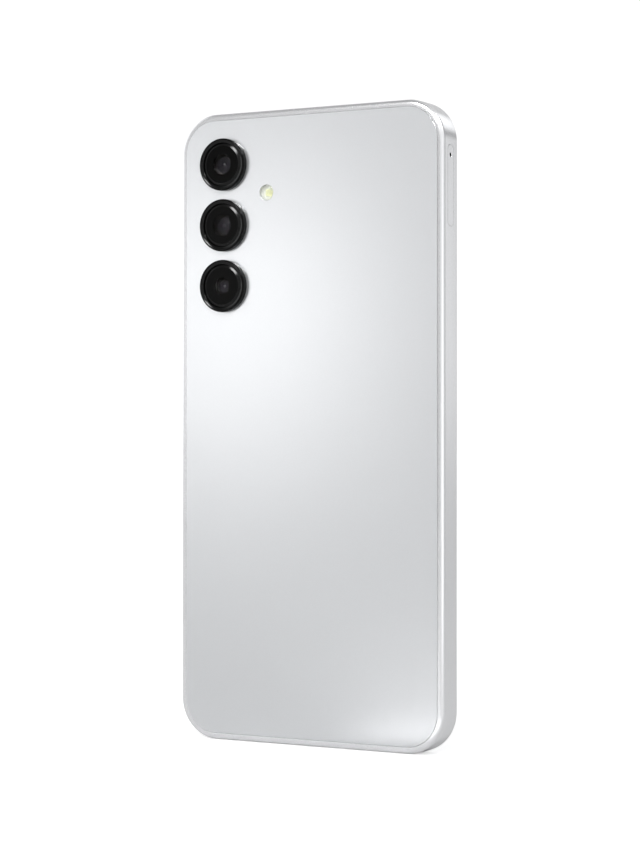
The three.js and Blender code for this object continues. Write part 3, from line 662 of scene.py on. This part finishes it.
def make_camera(place_name, aperture_r, barrel_profile, barrel_name, barrel_body="phone", replaced=()):
    """The gloss ring, the window with its clear aperture, and the lens barrel seen through it."""
    at = (CAMERA_X, CAMERA_Z[place_name])
    outer = arc((RING_R - 0.42, RING_TOP - 0.44), (0.42, 0.44), 0, 90, 9)
    lip = arc((6.39, RING_TOP - 0.10), (0.10, 0.10), 90, 112, 3)
    profile = [(4.9, 2.95), (6.15, 2.95), (6.15, 3.98), (RING_R - 0.05, 3.98), (RING_R, 4.03)] + outer + lip
    profile += [(5.78, RING_TOP - 0.235), (5.74, RING_TOP - 0.28), (WINDOW_R + 0.08, RING_TOP - 0.38),
                (WINDOW_R + 0.08, 4.45), (4.9, 4.45)]
    ring = turned(profile, at, sides=128)
    bevel_r, bevel_depth = 6.40, 0.36
    for face in ring.faces:
        x, y, z = face.calc_center_median() / MM
        on_bevel = y > RING_TOP - bevel_depth and math.hypot(x - at[0], z - at[1]) < bevel_r
        face.material_index = int(on_bevel)
    piece(f"camera_ring_{place_name}_band", ring, ["ring_gloss", "ring_polish"],
          replaces=[f"camera_ring_{place_name}"])

    window = bmesh.new()
    slope = [
        (5.57, WINDOW_TOP - 0.24), (5.09, WINDOW_TOP - 0.045), (5.0, WINDOW_TOP - 0.012), (4.92, WINDOW_TOP),
    ]
    edge = arc((WINDOW_R - 0.10, WINDOW_TOP - 0.34), (0.10, 0.10), 0, 65, 4)
    levels = [(WINDOW_R - 0.04, WINDOW_BACK), (WINDOW_R, WINDOW_BACK + 0.05)]
    levels += edge + slope + [(4.85, WINDOW_TOP)]
    rings = add_walls(window, lambda r: circle(r, at, 128), levels)
    front_aperture = add_ring(window, circle(aperture_r, at), WINDOW_TOP)
    back_aperture = add_ring(window, circle(aperture_r, at), WINDOW_BACK)
    fill_between(window, [rings[-1], front_aperture])
    fill_between(window, [rings[0], back_aperture])
    for aperture in (front_aperture, back_aperture):
        window.faces.new(aperture).material_index = 1
    bmesh.ops.recalc_face_normals(window, faces=window.faces)
    # Only the sloped edge of the window is polished.
    for face in window.faces:
        if 0.2 < face.normal.y < 0.99:
            face.material_index = 2
    piece(f"lens_window_{place_name}_pane", window, ["lens_border", "clear_pane", "ring_polish"],
          replaces=[f"lens_window_{place_name}"])

    barrel = turned(barrel_profile, at, sides=72)
    piece(f"{barrel_name}_barrel", barrel, "lens_baffle", body=barrel_body, replaces=replaced)
    return at


def make_lens_element(name, at, r, top, body, dome):
    """A coated front lens, a shallow dome with a flat rim, and the steeper small lens in its middle."""
    pupil_r = 0.62
    rim = r - 0.25
    profile = [(0, top - 0.45), (r, top - 0.45), (r, top - dome - 0.02), (r - 0.06, top - dome)]
    slope = [rim + (pupil_r - rim) * i / 8 for i in range(9)]
    profile += [(rr, top - dome * (rr / rim) ** 2) for rr in slope]
    profile += [(pupil_r - 0.06, top - 0.22), (0, top - 0.22)]
    piece(name, turned(profile, at, sides=64), "lens_coat", body=body, sharp=50)
    ball = arc((0, top - 0.24), (0.42, 0.26), 0, 90, 8)
    inner_profile = [(0, top - 0.32), (0.42, top - 0.32)] + ball[:-1] + [(0, top + 0.02)]
    inner = turned(inner_profile, at, sides=32)
    piece(f"{name}_pupil", inner, "lens_iris", body=body, sharp=50)


def square_block(half, low, high, at):
    """The block that a camera's barrel stands on."""
    outline = slot_outline(half, half, at, 0.5, 6)
    return loft(outline, [(0, low), (0, high - 0.1), (0.1, high)])


def make_rear_cameras():
    # A stepped baffle narrows to the front lens of each camera.
    wide = [(0, 2.4), (3.2, 2.4), (3.2, 4.1), (2.6, 4.1), (2.35, 3.95), (2.35, 3.8), (2.15, 3.8), (2.15, 3.6),
            (0, 3.6)]
    at = make_camera("top", 2.75, wide, "wide_camera")
    make_lens_element("wide_camera_lens", at, 2.1, 4.05, "phone", 0.22)
    block = square_block(4.1, -1.45, 2.39, at)
    piece("wide_camera_block", block, "black_plastic", replaces=["wide_camera"])

    main = [(0, 0.0), (3.5, 0.0), (3.5, 3.3), (2.9, 3.35), (2.9, 3.95), (2.45, 3.95), (2.35, 3.75),
            (2.2, 3.75), (2.2, 3.5), (0, 3.5)]
    at = make_camera("middle", 2.75, main, "main_lens", "main_lens", ["main_lens_barrel"])
    make_lens_element("main_front_lens", at, 2.15, 3.95, "main_lens", 0.3)

    macro = [(0, 1.9), (2.4, 1.9), (2.4, 4.1), (2.0, 4.1), (1.75, 3.9), (1.6, 3.9), (1.6, 3.7), (0, 3.7)]
    at = make_camera("bottom", 2.2, macro, "macro_camera")
    make_lens_element("macro_camera_lens", at, 1.5, 4.02, "phone", 0.16)
    block = square_block(3.3, -1.45, 1.89, at)
    piece("macro_camera_block", block, "black_plastic", replaces=["macro_camera"])


def make_flash():
    at = FLASH_AT
    dome = [(1.70 * (1 - i / 8), 3.87 + 0.06 * (1 - (1 - i / 8) ** 2)) for i in range(9)]
    profile = [(0, 2.75), (2.65, 2.75), (2.68, 2.8), (2.68, 3.0), (2.65, 3.03), (2.03, 3.03), (2.03, 3.40)]
    profile += [(1.80, 3.42), (1.78, 3.82), (1.74, 3.86)] + dome
    piece("flash_window_lens", turned(profile, at, sides=64), "flash_lens", replaces=["flash_window"])
    cup = [(0.9, 2.3), (1.7, 2.3), (2.4, 2.66), (2.4, 2.7), (1.35, 2.7), (1.0, 2.45)]
    piece("flash_reflector", turned(cup, at, sides=48), "flash_rim")
    base = loft(slot_outline(1.6, 1.6, at, 0.25, 4), [(0, -0.5), (0, 2.1), (0.1, 2.2)])
    chips = loft(slot_outline(0.75, 0.75, at, 0.12, 4), [(0, 2.15), (0, 2.56), (0.05, 2.6)])
    piece("flash_led_chip", joined(base, chips), "phosphor", replaces=["flash_led"])


# ---- Display side ----

def active_area_outline():
    """The lit area's edge: round corners, and a drop-shaped notch round the front camera."""
    half_x, low, top = WIDTH / 2 - 2.25, 4.3, HEIGHT - 2.9
    per_corner = 20
    edge = [(a, b + (top + low) / 2) for a, b in rounded_rect(half_x, (top - low) / 2, 8.3, per_corner)]
    # The outline runs anticlockwise; the notch goes in after its second corner, along the top.
    camera_x, camera_z = FRONT_CAMERA_AT
    drop_r, shoulder_r = 2.9, 1.6
    shoulder = arc((camera_x + drop_r + shoulder_r, top - shoulder_r), (shoulder_r, shoulder_r), 90, 180, 8)
    bowl = arc((camera_x, camera_z), (drop_r, drop_r), 0, -180, 20)
    far_shoulder = [(2 * camera_x - x, z) for x, z in reversed(shoulder)]
    split = 2 * (per_corner + 1)
    return edge[:split] + shoulder + bowl + far_shoulder + edge[split:]


def make_display_glass():
    mesh = bmesh.new()
    edge = arc((GLASS_INSET + 0.32, -HALF_DEPTH + 0.26), (0.32, 0.26), 180, 270, 7)
    profile = [(GLASS_INSET + 0.04, GLASS_BACK), (GLASS_INSET, GLASS_BACK - 0.04)] + edge
    profile += [(GLASS_INSET + 0.5, -HALF_DEPTH), (GLASS_INSET + 0.62, -HALF_DEPTH)]
    rings = add_walls(mesh, phone_outline, profile)
    mesh.faces.new(rings[0])
    area = add_ring(mesh, active_area_outline(), -HALF_DEPTH)
    lens = add_ring(mesh, circle(1.55, FRONT_CAMERA_AT, 48), -HALF_DEPTH)
    fill_between(mesh, [rings[-1], area, lens])
    for face in fill_between(mesh, [area]):
        face.material_index = 1
    mesh.faces.new(lens).material_index = 2
    bmesh.ops.recalc_face_normals(mesh, faces=mesh.faces)
    cutter = loft(slot_outline(7.45, 0.45, (0, HEIGHT - 1.68), 0.44), [(0, -5), (0, -3.2)])
    data = cut_with(mesh, [cutter])
    piece("display_glass_pane", data, ["screen_border", "screen_area", "lens_coat"],
          replaces=["display_glass"])


# ---- Keys, tray and sockets ----

def key_body(z_range, half_thick, place, top):
    """A key's cap: a slot shape with softly rounded outer edges, down to its inner end."""
    round_r = 0.28
    middle, half = middle_and_half(z_range)
    outline = slot_outline(half_thick, half, (0, middle), half_thick * 0.985, 16)
    edge = arc((round_r, top - round_r), (round_r, round_r), 180, 90, 6)
    return loft(outline, [(0, -3.65)] + edge + [(round_r + 0.15, top)], place)


def key_flange(z_range, place):
    """The wider inner end that keeps a key in its slot."""
    middle, half = middle_and_half(z_range)
    outline = slot_outline(1.7, half + 0.7, (0, middle), 0.3, 4)
    return loft(outline, [(0.05, -4.2), (0, -4.15), (0, -3.7), (0.05, -3.65)], place)


def key_plunger(z, place):
    """The stub that pushes the switch behind a key."""
    profile = [(0, -4.8), (0.6, -4.8), (0.7, -4.7), (0.7, -4.15), (0, -4.15)]
    return turned(profile, (0, z), place, 24)


def make_keys():
    volume = joined(
        key_body(VOLUME_KEY_Z, 1.25, on_key_side, 0.5), key_flange(VOLUME_KEY_Z, on_key_side),
        *[key_plunger(z, on_key_side) for z in VOLUME_PLUNGER_Z],
    )
    piece("volume_key_cap", volume, "key_paint", body="volume_key", replaces=["volume_key"])
    power_middle = sum(POWER_KEY_Z) / 2
    pocket = loft(slot_outline(1.0, 5.0, (0, power_middle), 0.98, 16),
                  [(0, 0.16), (0, 0.36), (-0.04, 0.4), (-0.04, 1)], on_key_side)
    whole = bmesh.new()
    whole.from_mesh(cut_with(key_body(POWER_KEY_Z, 1.35, on_key_side, 0.4), [pocket]))
    power = joined(whole, key_flange(POWER_KEY_Z, on_key_side), key_plunger(power_middle, on_key_side))
    piece("power_key_cap", power, "key_paint", body="power_key", replaces=["power_key"])
    outline = slot_outline(0.95, 4.95, (0, power_middle), 0.94, 16)
    pad = loft(outline, [(0.03, 0.18), (0, 0.2), (0, 0.33), (0.04, 0.37), (0.2, 0.37)], on_key_side)
    piece("fingerprint_pad", pad, "sensor_gloss", body="power_key", replaces=["fingerprint_sensor"])


def paint_bore_shade(data):
    """Gives the second material, a painted shade, to the walls of the eject hole, a little below the tray's
    outer face.
    """
    wall_r, from_depth = PIN_HOLE_R + 0.04, 0.1
    for face in data.polygons:
        x, y, z = face.center / MM
        if math.hypot(y, z - TRAY_HOLE_Z) < wall_r and x + WIDTH / 2 > from_depth:
            face.material_index = 1


def make_card_tray():
    middle, half = middle_and_half(TRAY_Z)
    face_profile = [(0.05, -1.8), (0, -1.75), (0, -0.09), (0.02, -0.03), (0.08, -0.008), (0.2, -0.005)]
    face = loft(slot_outline(1.65, half, (0, middle), 1.2), face_profile, on_tray_side)
    neck = loft(slot_outline(1.15, 9.3, (0, middle), 0.3, 4), [(0, -3.55), (0, -1.78)], on_tray_side)
    hole_outline = slot_outline(PIN_HOLE_R, PIN_HOLE_R, (0, TRAY_HOLE_Z), PIN_HOLE_R - 0.01)
    pin_hole = loft(hole_outline, [(0, -4), (0, -0.1), (-0.07, 0.0), (-0.07, 1)], on_tray_side)
    face_data = cut_with(joined(face), [pin_hole])
    neck_data = cut_with(neck, [loft(hole_outline, [(0, -4), (0, 1)], on_tray_side)])
    # The walls inside the eject hole take a painted shade.
    paint_bore_shade(face_data)
    paint_bore_shade(neck_data)
    carrier = loft(slot_outline(11.35, 8.25, (-24.25, CARD_Z), 0.8, 6),
                   [(0.06, -0.2), (0, -0.14), (0, 0.74), (0.06, 0.8)])
    wells = [(SIM_X, 4.45, 6.2), (MEMORY_X, 5.55, 7.55)]
    ledges = [(SIM_X, 3.25, 4.8), (MEMORY_X, 4.35, 6.1)]
    tools = [loft(slot_outline(a, b, (x, CARD_Z), 0.25, 4), [(0, -0.02), (0, 2)]) for x, a, b in wells]
    tools += [loft(slot_outline(a, b, (x, CARD_Z), 0.6, 6), [(0, -1), (0, 1)]) for x, a, b in ledges]
    whole = bmesh.new()
    for data in (face_data, neck_data, cut_with(carrier, tools)):
        whole.from_mesh(data)
    piece("card_tray_body", whole, ["frame_paint", "bore_painted_shade"], body="card_tray", replaces=["sim_tray"])

    seal_profile = [(0.43, -2.25), (0.05, -2.25), (0.0, -2.35), (0.07, -2.45), (0.07, -2.55), (0.0, -2.65),
                    (0.0, -2.75), (0.07, -2.85), (0.43, -2.85)]
    seal = loft(slot_outline(1.62, 9.66, (0, middle), 0.6, 8), seal_profile, on_tray_side, closed=True)
    piece("tray_seal_lip", seal, "seal_rubber", body="card_tray", replaces=["sim_tray_seal"])


def extruded_card(points, low, high):
    """A thin card with its edges softened."""
    mesh = loft(lambda inset: points, [(0, low), (0, high)])
    sharp_angle = 1.2
    edges = [edge for edge in mesh.edges if edge.is_manifold and edge.calc_face_angle() > sharp_angle]
    bmesh.ops.bevel(mesh, geom=edges, offset=0.06 * MM, segments=2, affect="EDGES")
    return mesh


def contact_pad(centre, half_x, half_z, y):
    return loft(slot_outline(half_x, half_z, centre, 0.25, 4), [(0, y - 0.02), (0, y + 0.015)])


def make_cards():
    sim = [(-34.55, 135.05), (-25.75, 135.05), (-25.75, 145.7), (-27.4, 147.35), (-34.55, 147.35)]
    piece("nano_sim_body", extruded_card(sim, 0.01, 0.68), "card_white", body="card_tray",
          replaces=["nano_sim_card"])
    memory = [(-24.65, 133.7), (-13.65, 133.7), (-13.65, 141.4), (-15.1, 143.2), (-15.1, 148.7),
              (-24.65, 148.7)]
    piece("memory_card_body", extruded_card(memory, 0.01, 0.76), "card_black", body="card_tray",
          replaces=["memory_card"])
    pads = [contact_pad((SIM_X + a, CARD_Z + b), 1.6, 1.05, 0.0)
            for a in (-1.75, 1.75) for b in (-2.5, 0.0, 2.5)]
    piece("nano_sim_contacts", joined(*pads), "gold_contact", body="card_tray")


def make_usb_socket():
    outline = slot_outline(USB_HALF[0], USB_HALF[1], (0, 0), USB_HALF[1] * 0.985, 16)
    shell_profile = [(0, -7.9), (0, -0.72), (0.05, -0.62), (0.15, -0.6), (0.25, -0.66), (0.3, -0.8),
                     (0.3, -7.9)]
    shell = loft(outline, shell_profile, on_bottom, closed=True)
    piece("usb_c_shell_sleeve", shell, "steel", replaces=["usb_c_shell"])
    back_outline = slot_outline(USB_HALF[0] - 0.34, USB_HALF[1] - 0.34, (0, 0), 1.2, 10)
    back = loft(back_outline, [(0, -7.85), (0, -6.5)], on_bottom)
    blade = loft(slot_outline(3.34, 0.35, (0, 0), 0.25, 6), [(0, -6.6), (0, -1.45), (0.1, -1.3)], on_bottom)
    piece("usb_c_tongue_blade", joined(back, blade), "black_plastic", replaces=["usb_c_tongue"])
    pads = []
    for face in (-1, 1):
        for index in range(12):
            x = (index - 5.5) * 0.5
            outline = slot_outline(0.12, 0.02, (x, face * 0.35), 0.015, 2)
            pads.append(loft(outline, [(0, -5.6), (0, -1.9 - 0.35 * (index in (0, 11)))], on_bottom))
    piece("usb_c_contacts", joined(*pads), "gold_contact")


def woven_sheet(half_a, half_b, centre, place, low, high, pitch, wire):
    """A grille: a frame-edged sheet with rows of square openings."""
    outline = slot_outline(half_a, half_b, centre, 0.05, 2)
    sheet_mesh = loft(outline, [(0, low), (0, high)], place)
    holes = []
    count_a, count_b = int((2 * half_a - wire) / pitch), int((2 * half_b - wire) / pitch)
    for i in range(count_a):
        for j in range(count_b):
            at = (centre[0] + (i - (count_a - 1) / 2) * pitch, centre[1] + (j - (count_b - 1) / 2) * pitch)
            half = (pitch - wire) / 2
            outline = slot_outline(half, half, at, 0.02, 1)
            holes.append(loft(outline, [(0, low - 0.2), (0, high + 0.2)], place))
    return cut_with(sheet_mesh, [joined(*holes)])


def make_grilles():
    mesh = woven_sheet(7.3, 1.1, (18.3, 0), on_bottom, -3.46, -3.24, 0.42, 0.14)
    piece("loudspeaker_grille", mesh, "mesh_wire", replaces=["loudspeaker_mesh"])
    mesh = woven_sheet(7.35, 0.38, (0, HEIGHT - 1.68), flat_along_y, -3.82, -3.42, 0.3, 0.1)
    piece("earpiece_grille", mesh, "mesh_wire", replaces=["earpiece_mesh"])


# ---- Finishes of the CAD nodes that stay ----

def paint_kept_nodes(frame):
    """Every CAD node takes its finish; the pieces made after this replace some of them."""
    slots = {entry["node"]: entry["material_slot"] for entry in frame["record"]["subparts"]}
    for name, node in frame["nodes"].items():
        slot = slots[name]
        material = MATERIALS[SLOT_FINISH.get(slot, slot)]
        node.data.materials.clear()
        node.data.materials.append(material)
        node.data.shade_smooth()
        node.data.set_sharp_from_angle(angle=math.radians(30))


# ---- Stage, lights and camera ----

STUDIO_LOW = 0.20
STUDIO_HIGH = 0.31
BACKDROP_LEVEL = 1.05
FLOOR_SIDE = 12.0
FLOOR_LIFT = 0.56
# Name, turn and rise of the middle, the angles where it starts to fade and is gone, strength.
SOFT_PATCHES = [
    ("tray_side_front", (48, 0), 30, 76, 0.70),
    ("key_side", (-100, 0), 20, 65, 1.20),
    ("upper_front", (-30, 26), 5, 20, 0.15),
    ("behind_high", (166, 27), 6, 16, 0.95),
    ("behind_level", (150, -3), 5, 20, 0.80),
    ("overhead", (150, 75), 10, 40, 0.35),
    ("behind_upper", (152, 42), 10, 28, 0.40),
]
LENS_LENGTH = 97.75
VIEW_TURN = 209.79
VIEW_AT = (-0.2982, HALF_DEPTH * MM + 0.5147, HEIGHT / 2 * MM + 0.00006)


def aim(made, at, towards, axis):
    """Puts an object in its place and turns its axis to a point."""
    made.location = at
    made.rotation_euler = (Vector(towards) - Vector(at)).to_track_quat(axis, "Y").to_euler()


def flat_sheet(name, width, height):
    """A flat rectangle about its own origin."""
    mesh = bpy.data.meshes.new(name)
    half_w, half_h = width / 2, height / 2
    corners = [(-half_w, -half_h, 0), (half_w, -half_h, 0), (half_w, half_h, 0), (-half_w, half_h, 0)]
    mesh.from_pydata(corners, [], [(0, 1, 2, 3)])
    return add_object(name, mesh)


def add_light_panel(name, at, towards, side, power, only_gloss=False, only_matt=False):
    """A square panel. One that only gloss sees gives crisp highlights without flooding matt surfaces."""
    light = bpy.data.lights.new(name, "AREA")
    light.shape = "RECTANGLE"
    light.size = side
    light.size_y = side
    light.energy = power
    made = add_object(name, light)
    aim(made, at, towards, "-Z")
    made.visible_camera = False
    made.visible_diffuse = not only_gloss
    made.visible_glossy = not only_matt


def add_glow_card(name, at, towards, size, strength):
    """A soft-edged patch of light, seen only in reflections, that fades out from its middle."""
    card = flat_sheet(name, *size)
    aim(card, at, towards, "Z")
    material = bpy.data.materials.new(name)
    material.use_nodes = True
    tree = material.node_tree
    tree.nodes.clear()
    scaled = tree.nodes.new("ShaderNodeVectorMath")
    scaled.operation = "DIVIDE"
    tree.links.new(object_point(tree), scaled.inputs[0])
    scaled.inputs[1].default_value = (size[0] / 2, size[1] / 2, 1)
    length = tree.nodes.new("ShaderNodeVectorMath")
    length.operation = "LENGTH"
    tree.links.new(scaled.outputs[0], length.inputs[0])
    fade = spread(tree, length.outputs["Value"], 0.0, 1.0, strength, 0.0, "SMOOTHERSTEP")
    emission = tree.nodes.new("ShaderNodeEmission")
    tree.links.new(fade, emission.inputs["Strength"])
    clear = tree.nodes.new("ShaderNodeBsdfTransparent")
    both = tree.nodes.new("ShaderNodeAddShader")
    out = tree.nodes.new("ShaderNodeOutputMaterial")
    tree.links.new(emission.outputs[0], both.inputs[0])
    tree.links.new(clear.outputs[0], both.inputs[1])
    tree.links.new(both.outputs[0], out.inputs["Surface"])
    card.data.materials.append(material)
    card.visible_camera = False
    card.visible_diffuse = False
    card.visible_shadow = False
    card.visible_transmission = False


def is_camera_ray(tree):
    """1 for what the camera sees directly, 0 in reflections and shade."""
    return tree.nodes.new("ShaderNodeLightPath").outputs["Is Camera Ray"]


def make_stage():
    floor = flat_sheet("studio_floor", FLOOR_SIDE, FLOOR_SIDE)
    material = bpy.data.materials.new("studio_floor")
    material.use_nodes = True
    tree = material.node_tree
    shader = tree.nodes["Principled BSDF"]
    shader.inputs["Base Color"].default_value = grey(0.80)
    shader.inputs["Roughness"].default_value = 0.9
    shader.inputs["Specular IOR Level"].default_value = 0.1
    # The floor is a pale sheet to the eye, and a calmer grey in the phone's reflections.
    lift = arithmetic(tree, "MULTIPLY", is_camera_ray(tree), FLOOR_LIFT)
    shader.inputs["Emission Color"].default_value = grey(1.0)
    tree.links.new(lift, shader.inputs["Emission Strength"])
    floor.data.materials.append(material)


def studio_direction(turn, rise):
    """A direction, by its turn in degrees from the rear cover's own towards the tray side, and its rise."""
    flat = math.cos(math.radians(rise))
    return Vector((
        -flat * math.sin(math.radians(turn)),
        flat * math.cos(math.radians(turn)),
        math.sin(math.radians(rise)),
    ))


def soft_patch(tree, direction, towards, full, gone, strength):
    """The light of a round soft patch: full within one angle of its middle, gone beyond another."""
    dot = tree.nodes.new("ShaderNodeVectorMath")
    dot.operation = "DOT_PRODUCT"
    tree.links.new(direction, dot.inputs[0])
    dot.inputs[1].default_value = studio_direction(*towards)
    edge, core = math.cos(math.radians(gone)), math.cos(math.radians(full))
    return spread(tree, dot.outputs["Value"], edge, core, 0.0, strength, "SMOOTHSTEP")


def make_world():
    """White to the eye; a soft grey studio with a few lighter patches to everything that reflects it."""
    world = bpy.data.worlds.new("studio")
    bpy.context.scene.world = world
    world.use_nodes = True
    tree = world.node_tree
    tree.nodes.clear()
    direction = tree.nodes.new("ShaderNodeTexCoord").outputs["Generated"]
    parts = tree.nodes.new("ShaderNodeSeparateXYZ")
    tree.links.new(direction, parts.inputs[0])
    level = spread(tree, parts.outputs["Z"], -0.1, 0.9, STUDIO_LOW, STUDIO_HIGH)
    for name, towards, full, gone, strength in SOFT_PATCHES:
        level = arithmetic(tree, "ADD", level, soft_patch(tree, direction, towards, full, gone, strength))
        level.node.name = name
    studio = tree.nodes.new("ShaderNodeBackground")
    studio.inputs["Color"].default_value = (0.985, 0.993, 1.0, 1)
    tree.links.new(level, studio.inputs["Strength"])
    backdrop = tree.nodes.new("ShaderNodeBackground")
    backdrop.inputs["Strength"].default_value = BACKDROP_LEVEL
    backdrop.inputs["Color"].default_value = grey(1.0)
    choose = tree.nodes.new("ShaderNodeMixShader")
    tree.links.new(is_camera_ray(tree), choose.inputs["Fac"])
    tree.links.new(studio.outputs[0], choose.inputs[1])
    tree.links.new(backdrop.outputs[0], choose.inputs[2])
    out = tree.nodes.new("ShaderNodeOutputWorld")
    tree.links.new(choose.outputs[0], out.inputs["Surface"])


def make_lights():
    add_light_panel("front_key_panel", (0.12, 0.95, 0.76), (0, 0, 0.13), 0.30, 8.0, only_gloss=True)
    add_light_panel("side_key_panel", (-0.66, 0.46, 0.88), (0, 0, 0.13), 0.24, 6.5, only_gloss=True)
    add_light_panel("floor_fill_panel", (-0.2, 0.8, 0.8), (0, 0, 0.10), 0.30, 3.6, only_matt=True)
    add_light_panel("display_side_panel", (0.5, -1.2, 0.7), (0, 0, 0.08), 0.9, 1.0)
    # The soft glow across the rear cover, and fainter ones low on it.
    add_glow_card("cover_glow", (0.211, 0.30, 0.130), (0.211, 0.0, 0.130), (0.24, 0.24), 1.80)
    add_glow_card("cover_wide_glow", (0.240, 0.33, 0.150), (0.240, 0.0, 0.150), (0.50, 0.50), 0.27)
    add_glow_card("cover_low_glow", (-0.024, 0.034, 0.002), (-0.024, 0.034, 1.0), (0.08, 0.07), 1.15)
    add_glow_card("cover_far_low_glow", (0.02, 0.14, 0.002), (0.02, 0.14, 1.0), (0.14, 0.18), 0.75)
    # A standing card beyond the tray side lights the rounded edge all the way down.
    add_glow_card("tray_side_glow", (-0.22, 0.23, 0.05), (0.0, 0.0, 0.05), (0.42, 0.40), 0.9)


def make_camera_view():
    """A long lens level with the phone's middle, a third of a right angle round to the tray side."""
    data = bpy.data.cameras.new("view")
    data.lens = LENS_LENGTH
    data.clip_start = 0.01
    camera = add_object("view", data)
    camera.location = VIEW_AT
    camera.rotation_euler = (math.radians(90), 0, math.radians(VIEW_TURN))
    bpy.context.scene.camera = camera


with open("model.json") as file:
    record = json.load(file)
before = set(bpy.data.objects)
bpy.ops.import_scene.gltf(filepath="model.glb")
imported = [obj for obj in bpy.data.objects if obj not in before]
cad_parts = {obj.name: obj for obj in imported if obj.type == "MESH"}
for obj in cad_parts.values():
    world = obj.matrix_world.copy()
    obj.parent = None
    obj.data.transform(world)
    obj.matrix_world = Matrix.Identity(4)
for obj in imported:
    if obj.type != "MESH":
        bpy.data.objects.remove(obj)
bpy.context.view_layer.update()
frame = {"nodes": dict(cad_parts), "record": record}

paint_kept_nodes(frame)
make_side_frame()
make_rear_cover()
make_rear_cameras()
make_flash()
make_display_glass()
make_keys()
make_card_tray()
make_cards()
make_usb_socket()
make_grilles()

make_stage()
make_world()
make_lights()
make_camera_view()
bpy.context.scene.view_settings.view_transform = "Standard"
